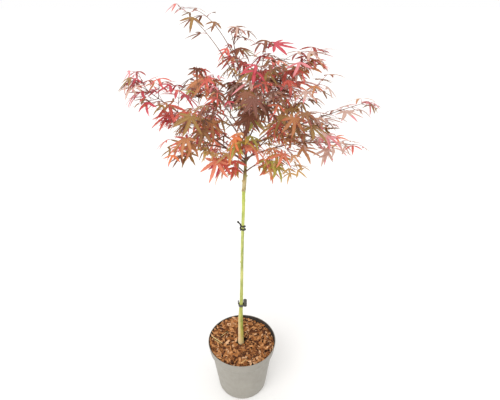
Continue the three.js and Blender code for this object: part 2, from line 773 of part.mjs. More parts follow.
function growMass(shoot) {
  const draw = seededDraws(CROWN_SEED + SHOOTS.indexOf(shoot));
  const curve = shootCurve(shoot);
  const start = shoot.share + SEAT_GAP / curve.getLength();
  const points = curvePoints(curve, start, 1, STEM_RINGS);
  const mass = {
    twigs: [{ points, radii: taper(BOUGH_TIP_RADIUS, STEM_TIP_RADIUS, STEM_RINGS) }],
    lines: points.slice(1).map((point, i) => [points[i], point]),
    leaves: [],
  };
  const length = curve.getLength() * (1 - shoot.share);
  const nodes = Math.max(3, Math.round(length / (shoot.internode ?? INTERNODE)));
  for (let i = nodes; i >= 1; i--) {
    const share = i / nodes;
    const below = start + (1 - start) * (share - NODE_LAG / nodes);
    const at = i === nodes ? 1 - NODE_INSET / curve.getLength() : below;
    const node = curve.getPoint(at);
    const along = curve.getTangent(at);
    const jitter = 1 + SIZE_JITTER * (draw() - 0.5);
    const size = shoot.leaf * (1 + (TIP_LEAF_SIZE - 1) * share) * jitter;
    const roll = Math.PI / 2 + (i * Math.PI) / 2 + MASS_ROLL_JITTER * (draw() - 0.5);
    for (const flip of [0, Math.PI]) {
      if (i < nodes && draw() < (shoot.twigs ?? TWIG_CHANCE)) {
        growTwig(shoot, draw, mass, node, along, roll + flip, size);
      } else {
        addLeaf(shoot, draw, mass, node, branchOff(draw, along, roll + flip), size);
      }
    }
  }
  return mass;
}

function massGeometry(shoot) {
  const { twigs, leaves } = growMass(shoot);
  const solids = [
    ...twigs.map(({ points, radii }) => limbSolid(points, radii, TWIG_SIDES)),
    ...leaves.map(leafSolid),
  ];
  return toGeometry(join(solids));
}

// The whole plant

function material(colour, roughness) {
  return new THREE.MeshStandardMaterial({ color: colour, roughness, metalness: 0 });
}

const plant = new THREE.Group();

function addPart(name, geometry, finish) {
  const mesh = new THREE.Mesh(geometry, finish);
  mesh.name = name;
  plant.add(mesh);
}

const barkFinish = material(COLOURS.bough, 0.8);
const tieFinish = material(COLOURS.tie, 0.5);
addPart("pot", potGeometry(), material(COLOURS.pot, 0.5));
addPart("mulch", mulchGeometry(), material(COLOURS.mulch, 0.95));
addPart("stem", limbGeometry(stemPoints, stemRadii, STEM_SIDES), material(COLOURS.stem, 0.6));
addPart("upper_tie", upperTieGeometry(), tieFinish);
addPart("lower_tie", lowerTieGeometry(), tieFinish);

function tintOf(shoot) {
  if (shoot.rise < LOW_RISE) return COLOURS.low;
  return shoot.leaf < TIP_LEAF ? COLOURS.tips : COLOURS.bronze;
}

for (const shoot of SHOOTS) {
  const tint = tintOf(shoot);
  addPart("bough_" + shoot.name, boughGeometry(shoot), barkFinish);
  addPart("foliage_" + shoot.name, massGeometry(shoot), material(tint, 0.6));
}

export default plant;
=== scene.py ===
"""A grafted Japanese maple in a grey nursery pot: bark, twigs, leaves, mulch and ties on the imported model.

Sizes are in millimetres, as in the part's source, and become metres where a mesh is made. +Z is up, and
the origin is the middle of the pot's underside. Bearings turn from +X, the right of the front view, towards
+Y, the back.
"""

import json
import math

import bpy
import numpy as np
from mathutils import Euler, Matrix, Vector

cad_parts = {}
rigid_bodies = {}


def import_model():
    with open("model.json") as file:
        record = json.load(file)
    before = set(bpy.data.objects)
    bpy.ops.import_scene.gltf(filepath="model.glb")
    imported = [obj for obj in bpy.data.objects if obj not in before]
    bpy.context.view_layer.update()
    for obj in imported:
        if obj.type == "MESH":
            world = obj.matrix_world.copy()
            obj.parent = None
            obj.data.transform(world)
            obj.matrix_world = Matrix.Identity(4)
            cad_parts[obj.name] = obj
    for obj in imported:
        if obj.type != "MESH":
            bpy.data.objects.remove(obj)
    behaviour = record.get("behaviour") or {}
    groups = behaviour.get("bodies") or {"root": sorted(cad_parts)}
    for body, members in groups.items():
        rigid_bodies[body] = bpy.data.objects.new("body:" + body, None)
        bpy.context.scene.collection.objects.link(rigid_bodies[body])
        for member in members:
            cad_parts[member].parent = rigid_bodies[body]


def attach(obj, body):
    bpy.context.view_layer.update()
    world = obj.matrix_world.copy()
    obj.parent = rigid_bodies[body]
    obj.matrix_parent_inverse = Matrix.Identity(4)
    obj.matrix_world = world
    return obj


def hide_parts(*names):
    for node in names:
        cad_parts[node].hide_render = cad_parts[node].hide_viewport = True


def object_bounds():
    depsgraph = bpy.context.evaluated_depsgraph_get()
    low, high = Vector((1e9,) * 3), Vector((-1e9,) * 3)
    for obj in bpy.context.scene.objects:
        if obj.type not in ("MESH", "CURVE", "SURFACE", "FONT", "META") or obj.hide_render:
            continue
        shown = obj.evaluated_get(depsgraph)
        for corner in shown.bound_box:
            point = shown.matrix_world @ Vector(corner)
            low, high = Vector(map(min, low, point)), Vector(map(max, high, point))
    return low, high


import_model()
CAD_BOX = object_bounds()
METRES = 0.001

# Camera, in metres: the photograph's angle, fitted to the pot's rim, the pot's foot and the stem
LENS = 28.8
CAMERA_PLACE = (0, -1.115, 1.439)
CAMERA_TURN = (61.8, 0, -1.6)
CAMERA_SIGHT = 200


def new_object(name, data):
    made = bpy.data.objects.new(name, data)
    bpy.context.scene.collection.objects.link(made)
    return made


def add_camera():
    camera = new_object("camera", bpy.data.cameras.new("camera"))
    camera.data.lens = LENS
    camera.data.clip_end = CAMERA_SIGHT
    camera.location = CAMERA_PLACE
    camera.rotation_euler = np.radians(CAMERA_TURN)
    bpy.context.scene.camera = camera


add_camera()


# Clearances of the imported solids, in millimetres like every size in this script
SEAT_GAP = 0.3
SPACE_GAP = 1.5
LIMB_GAP = 0.6

# Stem, from the mulch to its tip: height, sideways place and radius at each level
MULCH_TOP = 207
STEM_LEVELS = [
    (MULCH_TOP + SEAT_GAP, -4, 12.4),
    (222, -4, 11.2),
    (250, -4, 10.2),
    (305, -4.4, 9.3),
    (345, -4, 8.6),
    (380, -2.6, 7.2),
    (437, 0, 5.9),
    (540, 2.4, 5.2),
    (649, 4.7, 5),
    (740, 7.4, 5.1),
    (805, 10.2, 5.3),
    (862, 11, 5.4),
    (872, 11.6, 6.6),
    (900, 13.6, 7.3),
    (926, 15.4, 7.2),
    (944, 16.4, 5.6),
    (990, 18.8, 4.5),
    (1040, 20, 3.9),
    (1068, 21, 3.3),
]
FORK_HEIGHT = 930
CROWN_AXIS = 17

# Shoots: each is one curve that rises from its parent and ends at a bearing, reach and rise above the fork.
# The first share of the curve is the bough, and the rest is the stem of a mass of foliage of that width.
# Columns: name, parent, where on the parent, bearing, reach, rise, arch, share, width, leaf size and mix of
# tints, and for the whips the length between nodes and the chance of a twig.
SHOOT_ROWS = [
    ("low_left", "stem", 933, 232, 142, 124, 14, 0.3, 88, 70, "low_left"),
    ("low_right", "stem", 937, 313, 158, 112, 22, 0.36, 88, 70, "low_right"),
    ("left_far", "stem", 968, 191, 292, 292, 8, 0.46, 76, 58, "left_far"),
    ("left_low", "left_far", 0.2, 214, 214, 124, 26, 0.28, 96, 70, "left_low"),
    ("left_high", "stem", 1044, 196, 130, 322, 14, 0.34, 92, 60, "left_high"),
    ("front_left", "stem", 992, 238, 232, 232, 34, 0.3, 100, 78, "front_left"),
    ("front", "stem", 1008, 272, 246, 272, 30, 0.34, 92, 80, "front"),
    ("front_low", "stem", 984, 266, 186, 176, 26, 0.3, 92, 70, "front_low"),
    ("front_right", "stem", 1000, 306, 228, 236, 34, 0.3, 100, 76, "front_right"),
    ("right_low", "stem", 982, 342, 306, 128, 52, 0.4, 88, 66, "right_low"),
    ("right_far", "stem", 1016, 4, 350, 212, 16, 0.5, 66, 58, "right_far"),
    ("right_high", "right_far", 0.24, 338, 204, 286, 26, 0.3, 96, 68, "right_high"),
    ("top_right", "stem", 1058, 18, 196, 344, 22, 0.34, 78, 62, "top_right"),
    ("top", "stem", 1066, 14, 62, 372, 0, 0.36, 84, 66, "top"),
    ("top_front", "stem", 1048, 287, 110, 326, 18, 0.32, 84, 66, "top"),
    ("whip_left", "top", 0.28, 174, 166, 462, 74, 0.56, 52, 46, "whip", 50, 0),
    ("top_left", "top", 0.16, 125, 60, 396, 0, 0.74, 80, 60, "top"),
    ("back_left", "stem", 1020, 130, 232, 240, 26, 0.38, 92, 74, "back"),
    ("back", "stem", 1004, 94, 246, 220, 26, 0.38, 92, 74, "back"),
    ("back_right", "stem", 1026, 58, 236, 246, 26, 0.38, 92, 74, "back"),
    ("back_left_low", "stem", 976, 150, 218, 142, 30, 0.34, 88, 70, "left_low"),
    ("back_right_low", "stem", 970, 40, 216, 132, 30, 0.34, 88, 70, "back_low"),
    ("back_high", "stem", 1050, 96, 128, 322, 20, 0.38, 88, 70, "top"),
    ("whip_top", "top_left", 0.66, 150, 187, 455, 84, 0.3, 52, 46, "whip", 44, 0),
]
BOUGH_RINGS = 4
BOUGH_ROOT_RADIUS = 1.9
BOUGH_GROWTH = 0.0042
BOUGH_TIP_RADIUS = 2
BOUGH_PER_CHILD = 0.5
CONTROL_SHARE = 0.45
CURVE_CHORDS = 200
TANGENT_STEP = 0.0001

# Growth inside a mass
CROWN_SEED = 88
STEM_RINGS = 3
AXIS_STEPS = 3
TWIG_ROOT_RADIUS = 1.2
NODE_INSET = 2
INTERNODE = 30
FEWEST_NODES = 3
TWIG_CHANCE = 0.4
TWIG_REACH = (0.45, 0.8)
TWIG_LIFT = 0.12
TWIG_TRIES = 5
BRANCHING_ANGLE = (42, 62)
NODE_LAG = 0.35
MASS_ROLL_JITTER = 0.7
TWIG_ROLL_JITTER = 0.8
TWIG_MIDDLE = 0.55
TWIG_END_SIZE = 0.8
SIZE_JITTER = 0.2

# Leaves: lobes by their angle from the middle lobe and their share of the leaf's length
LOBES = [(-84, 0.58), (-41, 0.9), (0, 1), (41, 0.9), (84, 0.58)]
YOUNG_LOBES = [(-58, 0.78), (0, 1), (58, 0.78)]
YOUNG_SIZE = 42
NOTCH_SHARE = 0.32
HEEL_HALF_WIDTH = 1.1
LEAF_DROOP = 0.2
PETIOLE_SHARE = (0.35, 0.8)
PETIOLE_RADIUS = 1
PETIOLE_LIFT = 0.12
PETIOLE_SLOPE = (-0.3, 0.5)
HANG = (0, 52)
LEAF_ROLL = 24
LEAF_SWING = 50
OUTWARD_PULL = 0.35
TIP_LEAF_SIZE = 0.62
LEAF_SPACING = 0.72
LEAF_TRIES = 20
FEWEST_TWIG_LEAVES = 2
SHRINK = 0.02
LEAF_GAP = 0.06
FARTHEST_CLASH = 1.1
LOBE_HALF_WIDTH = 0.1
CROWN_FLOOR = 944


# Vectors and draws
UP = np.array([0.0, 0.0, 1.0])
SEED_FACTOR = 7919
SEED_STEP = 17
DRAW_FACTOR = 1664525
DRAW_STEP = 1013904223
DRAW_MODULUS = 2**32
PARALLEL = 1e-9


def unit(vector):
    return vector / math.sqrt(vector @ vector)


def cross(a, b):
    return np.array([a[1] * b[2] - a[2] * b[1], a[2] * b[0] - a[0] * b[2], a[0] * b[1] - a[1] * b[0]])


def turned(vector, axis, angle):
    """The vector, turned about a unit axis."""
    return (
        vector * math.cos(angle)
        + cross(axis, vector) * math.sin(angle)
        + axis * ((axis @ vector) * (1 - math.cos(angle)))
    )


def seeded_draws(seed):
    """The same draws on every run: numbers from 0 to 1 out of one whole number."""
    state = seed * SEED_FACTOR + SEED_STEP

    def draw():
        nonlocal state
        state = (state * DRAW_FACTOR + DRAW_STEP) % DRAW_MODULUS
        return state / DRAW_MODULUS

    draw()
    draw()
    return draw


def between(draw, limits):
    return limits[0] + (limits[1] - limits[0]) * draw()


def segment_gaps(a, b, c, d):
    """The least distances between each of the segments a-b and each of the segments c-d."""
    u = (b - a)[:, None]
    v = (d - c)[None]
    w = a[:, None] - c[None]
    uu, vv, uv, uw, vw = ((p * q).sum(-1) for p, q in ((u, u), (v, v), (u, v), (u, w), (v, w)))
    spread = uu * vv - uv * uv
    slanted = spread > PARALLEL
    s = np.where(slanted, np.clip((uv * vw - vv * uw) / np.where(slanted, spread, 1), 0, 1), 0)
    t = np.clip((uv * s + vw) / vv, 0, 1)
    s = np.clip((uv * t - uw) / uu, 0, 1)
    apart = w + u * s[..., None] - v * t[..., None]
    return np.sqrt((apart * apart).sum(-1))


# Stem and shoots
STEM_POINTS = np.array([(sideways, 0.0, height) for height, sideways, _ in STEM_LEVELS])
STEM_RADII = np.array([float(radius) for _, _, radius in STEM_LEVELS])


def stem_point_at(height):
    x = np.interp(height, STEM_POINTS[:, 2], STEM_POINTS[:, 0])
    return np.array([x, 0.0, height])


def stem_radius_at(height):
    return np.interp(height, STEM_POINTS[:, 2], STEM_RADII)


class Shoot:
    """One curve from its parent to its tip: a bough, then the stem of a mass of foliage."""

    by_name = {}

    def __init__(self, name, parent, at, bearing, reach, rise, arch, share, width, leaf, mix, *habit):
        self.name = name
        self.share = share
        self.width = width
        self.leaf = leaf
        self.mix = mix
        self.internode, self.twig_chance = habit or (INTERNODE, TWIG_CHANCE)
        self.index = len(Shoot.by_name)
        self.children = 0
        if parent == "stem":
            self.root = stem_point_at(at)
        else:
            self.root = Shoot.by_name[parent].point(at)
            Shoot.by_name[parent].children += 1
        turn = math.radians(bearing)
        out = reach * math.cos(turn), reach * math.sin(turn)
        self.tip = np.array([CROWN_AXIS + out[0], out[1], FORK_HEIGHT + rise])
        self.control = self.root + (self.tip - self.root) * CONTROL_SHARE + UP * arch
        chords = np.diff(self.points(0, 1, CURVE_CHORDS), axis=0)
        self.length = float(np.sqrt((chords * chords).sum(1)).sum())
        Shoot.by_name[name] = self

    def point(self, t):
        return self.root * ((1 - t) * (1 - t)) + self.control * (2 * (1 - t) * t) + self.tip * (t * t)

    def points(self, start, end, steps):
        return np.array([self.point(start + (end - start) * i / steps) for i in range(steps + 1)])

    def tangent(self, t):
        before = self.point(max(0.0, t - TANGENT_STEP))
        after = self.point(min(1.0, t + TANGENT_STEP))
        return unit(after - before)

    def bough_radii(self):
        root = BOUGH_ROOT_RADIUS + BOUGH_GROWTH * self.length * self.share + BOUGH_PER_CHILD * self.children
        return np.linspace(root, BOUGH_TIP_RADIUS, BOUGH_RINGS + 1)

    def bough_points(self):
        return self.points(0, self.share, BOUGH_RINGS)


SHOOTS = [Shoot(*row) for row in SHOOT_ROWS]


def limb_segments():
    """Every stretch of stem and bough: its two ends and its radius."""
    lines = [(STEM_POINTS, STEM_RADII)] + [(shoot.bough_points(), shoot.bough_radii()) for shoot in SHOOTS]
    starts = np.concatenate([points[:-1] for points, radii in lines])
    ends = np.concatenate([points[1:] for points, radii in lines])
    thick = np.concatenate([np.maximum(radii[:-1], radii[1:]) for points, radii in lines])
    return starts, ends, thick


LIMB_STARTS, LIMB_ENDS, LIMB_RADII = limb_segments()
AXES = np.array([shoot.points(shoot.share, 1, AXIS_STEPS) for shoot in SHOOTS])
AXIS_STARTS = AXES[:, :-1]
AXIS_SPANS = AXES[:, 1:] - AXES[:, :-1]
AXIS_SQUARES = (AXIS_SPANS * AXIS_SPANS).sum(-1)


def clear_of_limbs(starts, ends, clearance):
    return (segment_gaps(starts, ends, LIMB_STARTS, LIMB_ENDS) > LIMB_RADII + clearance).all()


def in_space(shoot, points):
    """Points are in a mass's space when they are near its line and nearer to it than to any other."""
    if (points[:, 2] < CROWN_FLOOR).any():
        return False
    to_points = points[:, None, None] - AXIS_STARTS
    shares = np.clip((to_points * AXIS_SPANS).sum(-1) / AXIS_SQUARES, 0, 1)
    apart = to_points - AXIS_SPANS * shares[..., None]
    distance = np.sqrt((apart * apart).sum(-1)).min(-1)
    own = distance[:, shoot.index].copy()
    distance[:, shoot.index] = np.inf
    return (own <= shoot.width).all() and (distance.min(-1) >= own + SPACE_GAP).all()


class Leaf:
    """Where a leaf lies: its node, its heel at the petiole's end, its middle lobe's way and its face."""

    def __init__(self, node, heel, along, face, size):
        self.node = node
        self.heel = heel
        self.along = along
        self.face = face
        self.across = cross(face, along)
        self.size = size
        self.lobes = YOUNG_LOBES if size < YOUNG_SIZE else LOBES
        self.spray = 0
        self.at_tip = False

    def blade_point(self, degrees, share):
        angle = math.radians(degrees)
        reach = self.size * share
        return (
            self.heel
            + self.along * (reach * math.cos(angle))
            + self.across * (reach * math.sin(angle))
            - self.face * (reach * LEAF_DROOP)
        )

    def rim(self):
        through = unit(unit(self.heel - self.node) + self.along)
        side = unit(self.across - through * (self.across @ through))
        rim = [self.heel, self.heel - side * HEEL_HALF_WIDTH, self.heel + side * HEEL_HALF_WIDTH]
        rim += [self.blade_point(angle, share) for angle, share in self.lobes]
        for (angle, _), (following, _) in zip(self.lobes, self.lobes[1:]):
            rim.append(self.blade_point((angle + following) / 2, NOTCH_SHARE))
        return np.array(rim)

    def lines(self):
        """The petiole, and the middle line of each lobe, as starts and ends."""
        tips = [self.blade_point(angle, share) for angle, share in self.lobes]
        starts = np.array([self.node] + [self.heel] * len(tips))
        return starts, np.array([self.heel] + tips)


def leaf_pose(draw, node, outward, size):
    away = unit(np.array([node[0] - CROWN_AXIS, node[1], 0.0]))
    reach = outward + away * OUTWARD_PULL
    reach[2] = min(max(reach[2] + PETIOLE_LIFT, PETIOLE_SLOPE[0]), PETIOLE_SLOPE[1])
    reach = turned(unit(reach), UP, math.radians(LEAF_SWING * (2 * draw() - 1)))
    heel = node + reach * (size * between(draw, PETIOLE_SHARE))
    heading = unit(np.array([reach[0], reach[1], 0.0]))
    hang = math.radians(between(draw, HANG))
    along = heading * math.cos(hang) - UP * math.sin(hang)
    face = heading * math.sin(hang) + UP * math.cos(hang)
    face = turned(face, along, math.radians(LEAF_ROLL * (2 * draw() - 1)))
    return Leaf(node, heel, along, face, size)


class Mass:
    """The twigs and leaves of one shoot beyond its bough."""

    def __init__(self, shoot):
        self.shoot = shoot
        self.start = shoot.share + SEAT_GAP / shoot.length
        points = shoot.points(self.start, 1, STEM_RINGS)
        self.lines = [(points[i], points[i + 1]) for i in range(STEM_RINGS)]
        self.twigs = []
        self.leaves = []
        self.spacing = LEAF_SPACING
        self.spray = 0
        self.at_tip = False

    def clashes(self, starts, ends, leaf):
        for other in self.leaves:
            smaller = min(leaf.size, other.size)
            apart = math.dist(leaf.heel, other.heel)
            if apart < self.spacing * smaller:
                return True
            if apart > FARTHEST_CLASH * (leaf.size + other.size):
                continue
            gaps = segment_gaps(starts, ends, *other.lines())
            gaps[0, 0] = np.inf
            if (gaps < LEAF_GAP * smaller).any():
                return True
        return False

    def fits(self, leaf):
        if not in_space(self.shoot, leaf.rim()):
            return False
        starts, ends = leaf.lines()
        clearances = np.full((len(starts), 1), LIMB_GAP + LOBE_HALF_WIDTH * leaf.size)
        clearances[0] = LIMB_GAP + PETIOLE_RADIUS
        if not clear_of_limbs(starts, ends, clearances) or self.clashes(starts, ends, leaf):
            return False
        twig_starts, twig_ends = np.array(self.lines).transpose(1, 0, 2)
        return not (segment_gaps(starts[1:], ends[1:], twig_starts, twig_ends) < LEAF_GAP * leaf.size).any()

    def add_leaf(self, draw, node, outward, size):
        """A leaf that has no room in one pose is tried in a few others, each a little smaller."""
        for attempt in range(LEAF_TRIES):
            leaf = leaf_pose(draw, node, outward, size * (1 - SHRINK * attempt))
            if self.fits(leaf):
                leaf.spray = self.spray
                leaf.at_tip = self.at_tip
                self.leaves.append(leaf)
                return


def branch_off(draw, along, roll):
    """A way that leaves a line at a branching angle, on the side that the roll gives."""
    angle = math.radians(between(draw, BRANCHING_ANGLE))
    level = unit(UP - along * (UP @ along))
    return unit(along * math.cos(angle) + turned(level, along, roll) * math.sin(angle))


def grow_twig(draw, mass, root, along, roll, size, share_of_width=1):
    """A twig is kept where at least two leaves find room on it."""
    for _ in range(TWIG_TRIES):
        direction = branch_off(draw, along, roll + TWIG_ROLL_JITTER * (draw() - 0.5))
        reach = mass.shoot.width * share_of_width * between(draw, TWIG_REACH)
        tip = root + direction * reach + UP * (reach * TWIG_LIFT)
        if not in_space(mass.shoot, tip[None]):
            continue
        if not clear_of_limbs(root[None], tip[None], LIMB_GAP + TWIG_ROOT_RADIUS):
            continue
        leaves_before = len(mass.leaves)
        mass.lines.append((root, tip))
        turn = math.pi / 2 + TWIG_ROLL_JITTER * (draw() - 0.5)
        end = root + (tip - root) * (1 - NODE_INSET / math.dist(root, tip))
        middle = root + (tip - root) * TWIG_MIDDLE
        for side in (0, math.pi):
            mass.add_leaf(draw, end, branch_off(draw, direction, turn + side), size * TWIG_END_SIZE)
        for side in (math.pi / 2, -math.pi / 2):
            mass.add_leaf(draw, middle, branch_off(draw, direction, turn + side), size)
        if len(mass.leaves) >= leaves_before + FEWEST_TWIG_LEAVES:
            mass.twigs.append((root, tip))
            return
        del mass.leaves[leaves_before:]
        mass.lines.pop()
    mass.add_leaf(draw, root, branch_off(draw, along, roll), size)


def grow_mass(shoot):
    """Pairs of leaves or twigs at each node from the tip inwards, each a quarter turn from the last."""
    draw = seeded_draws(CROWN_SEED + shoot.index)
    mass = Mass(shoot)
    nodes = max(FEWEST_NODES, math.floor(shoot.length * (1 - shoot.share) / shoot.internode + 0.5))
    for i in range(nodes, 0, -1):
        share = i / nodes
        at = 1 - NODE_INSET / shoot.length
        if i < nodes:
            at = mass.start + (1 - mass.start) * (share - NODE_LAG / nodes)
        node = shoot.point(at)
        along = shoot.tangent(at)
        jitter = 1 + SIZE_JITTER * (draw() - 0.5)
        size = shoot.leaf * (1 + (TIP_LEAF_SIZE - 1) * share) * jitter
        roll = math.pi / 2 + i * math.pi / 2 + MASS_ROLL_JITTER * (draw() - 0.5)
        for flip in (0, math.pi):
            mass.spray += 1
            mass.at_tip = i == nodes
            if i < nodes and draw() < shoot.twig_chance:
                grow_twig(draw, mass, node, along, roll + flip, size)
            else:
                mass.add_leaf(draw, node, branch_off(draw, along, roll + flip), size)
    return mass


# Finer growth: between the source's nodes the same rule goes on to young leaves and more twigs
FINE_SEED = 400
FINE_SPACING = 0.5
FINE_SHARES = (0.35, 0.8)
FINE_TWIG_CHANCE = 0.14
FINE_TWIG_WIDTH = 0.55
FINE_LEAF = (0.45, 0.85)
BOUGH_LEAVES_FROM = 0.22
BOUGH_LEAF_STEP = 14
BOUGH_LEAF = (0.4, 0.75)
BOUGH_LEAF_STAND = 0.4


def grow_finer(mass):
    """More leaves and twigs on every line of a mass, except on the bare whips."""
    if mass.shoot.twig_chance == 0:
        return
    draw = seeded_draws(FINE_SEED + mass.shoot.index)
    mass.spacing = FINE_SPACING
    mass.at_tip = False
    for k, (start, end) in enumerate(list(mass.lines)):
        along = unit(end - start)
        for i, share in enumerate(FINE_SHARES):
            node = start + (end - start) * share
            roll = (k + i) * math.pi / 2 + MASS_ROLL_JITTER * (draw() - 0.5)
            for flip in (0, math.pi):
                mass.spray += 1
                size = mass.shoot.leaf * between(draw, FINE_LEAF)
                if draw() < FINE_TWIG_CHANCE:
                    grow_twig(draw, mass, node, along, roll + flip, size, FINE_TWIG_WIDTH)
                else:
                    mass.add_leaf(draw, node, branch_off(draw, along, roll + flip), size)
    grow_on_bough(draw, mass)


def grow_on_bough(draw, mass):
    """Young leaves in pairs on the outer part of a bough, with petioles drawn from the bough's own line."""
    shoot = mass.shoot
    steps = math.floor(shoot.length * shoot.share * (1 - BOUGH_LEAVES_FROM) / BOUGH_LEAF_STEP)
    for k in range(steps):
        part = BOUGH_LEAVES_FROM + (1 - BOUGH_LEAVES_FROM) * k / steps
        grow_pair_on_bough(draw, mass, part, k * math.pi / 2)


def grow_pair_on_bough(draw, mass, part, roll):
    """Two leaves across a bough, at a part of its length."""
    shoot = mass.shoot
    node = shoot.point(part * shoot.share)
    along = shoot.tangent(part * shoot.share)
    radius = np.interp(part * BOUGH_RINGS, range(BOUGH_RINGS + 1), shoot.bough_radii())
    stand = radius + LIMB_GAP + PETIOLE_RADIUS + BOUGH_LEAF_STAND
    mass.spray += 1
    for flip in (0, math.pi):
        way = branch_off(draw, along, roll + flip + MASS_ROLL_JITTER * (draw() - 0.5))
        aside = unit(way - along * (way @ along))
        leaves_before = len(mass.leaves)
        mass.add_leaf(draw, node + aside * stand, way, shoot.leaf * between(draw, BOUGH_LEAF))
        for leaf in mass.leaves[leaves_before:]:
            leaf.node = node


# Meshes
RIPPLE_WAVES = 6
RIPPLE_STRETCH = (0.6, 1.5)
RIPPLE_CREST = 3.4
UPRIGHT = 0.8


def ripple(points, wavelength, seed):
    """A smooth field of bumps from about -1 to 1, about a wavelength apart, the same on every run."""
    random = np.random.default_rng(seed)
    points = np.asarray(points, float)
    total = np.zeros(points.shape[:-1])
    for _ in range(RIPPLE_WAVES):
        way = random.normal(size=3)
        way *= 2 * math.pi / wavelength * random.uniform(*RIPPLE_STRETCH) / np.linalg.norm(way)
        total += np.sin(points @ way + random.uniform(0, 2 * math.pi))
    return total / RIPPLE_CREST


def hump(distance, width):
    """1 in the middle, and almost 0 from twice the width on."""
    return np.exp(-((distance / width) ** 2))


def new_mesh(name, points, faces):
    mesh = bpy.data.meshes.new(name)
    mesh.from_pydata(np.asarray(points) * METRES, [], faces)
    return mesh


def place(piece, replaced=()):
    """The piece rides on the one body and stands for the nodes it replaces, which are hidden."""
    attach(piece, "root")
    if replaced:
        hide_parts(*replaced)


class Sheets:
    """Points, faces and each face's material, gathered into one mesh."""

    def __init__(self):
        self.points = []
        self.faces = []
        self.finishes = []
        self.count = 0

    def add(self, points, faces, finish=0):
        points = np.asarray(points, float).reshape(-1, 3)
        self.points.append(points)
        self.faces.extend([[int(i) + self.count for i in face] for face in faces])
        self.finishes.extend([finish] * len(faces) if np.isscalar(finish) else finish)
        self.count += len(points)

    def piece(self, name, materials, slot, replaced=(), smooth=True):
        mesh = new_mesh(name, np.concatenate(self.points), self.faces)
        for material in materials:
            mesh.materials.append(material)
        mesh.polygons.foreach_set("material_index", self.finishes)
        mesh.polygons.foreach_set("use_smooth", [smooth] * len(self.faces))
        mesh.update()
        place(new_object(name, mesh), replaced)


def circle(sides):
    return np.arange(sides) * 2 * math.pi / sides


def polar(radius, turns, heights):
    """Points about the z axis, by their distances from it, their turns and their heights."""
    return np.stack(np.broadcast_arrays(radius * np.cos(turns), radius * np.sin(turns), heights), -1)


def line_frames(points):
    """Two directions across a line of points at each of them, carried along it without twist."""
    ways = np.gradient(points, axis=0)
    ways /= np.linalg.norm(ways, axis=1)[:, None]
    first = np.array([1.0, 0, 0]) if abs(ways[0][2]) > UPRIGHT else UP
    across = np.empty_like(points)
    for i, way in enumerate(ways):
        first = unit(first - way * (first @ way))
        across[i] = first
    return across, np.cross(ways, across)


def ring_faces(rings, sides):
    """The quads between rings of points, each ring closed on itself."""
    around = [(j, (j + 1) % sides) for j in range(sides)]
    starts = range(0, (rings - 1) * sides, sides)
    return [(at + a, at + b, at + b + sides, at + a + sides) for at in starts for a, b in around]


def closed_faces(rings, sides):
    """The quads between rings of points, with the first and the last ring filled in."""
    last = (rings - 1) * sides
    return ring_faces(rings, sides) + [tuple(range(sides))[::-1], tuple(range(last, last + sides))]


def add_tube(sheets, points, radii, sides, relief=None):
    """A round tube along a line, closed at both ends. Relief scales the radius at each point of its skin."""
    points = np.asarray(points, float)
    radii = np.broadcast_to(radii, len(points))
    across, over = line_frames(points)
    turns = circle(sides)[:, None]
    ways = across[:, None] * np.cos(turns) + over[:, None] * np.sin(turns)
    skin = points[:, None] + ways * radii[:, None, None]
    if relief is not None:
        skin = points[:, None] + ways * (radii[:, None] * relief(skin))[..., None]
    sheets.add(skin, closed_faces(len(points), sides))


def bezier(start, control, end, steps):
    t = np.linspace(0, 1, steps + 1)[:, None]
    return start * (1 - t) ** 2 + control * (2 * t * (1 - t)) + end * t**2


def smooth_line(points, steps):
    """Steps to each stretch of a smooth curve through the points."""
    padded = np.concatenate([[2 * points[0] - points[1]], points, [2 * points[-1] - points[-2]]])
    t = np.linspace(0, 1, steps, endpoint=False)[:, None]
    curve = []
    for a, b, c, d in zip(padded, padded[1:], padded[2:], padded[3:]):
        bend = (c - a) * t + (2 * a - 5 * b + 4 * c - d) * t**2 + (3 * b - a - 3 * c + d) * t**3
        curve.append(0.5 * (2 * b + bend))
    return np.concatenate(curve + [points[-1:]])


# Materials
ALL_WAYS = (1, 1, 1)
NOISE_ROUGHNESS = 0.55
UNPAINTED = 0x808080


def screen(colour):
    """A colour as it is written for a screen, as the light that it stands for, fully opaque."""
    channels = [(colour >> shift & 255) / 255 for shift in (16, 8, 0)]
    return [c / 12.92 if c <= 0.04045 else ((c + 0.055) / 1.055) ** 2.4 for c in channels] + [1]


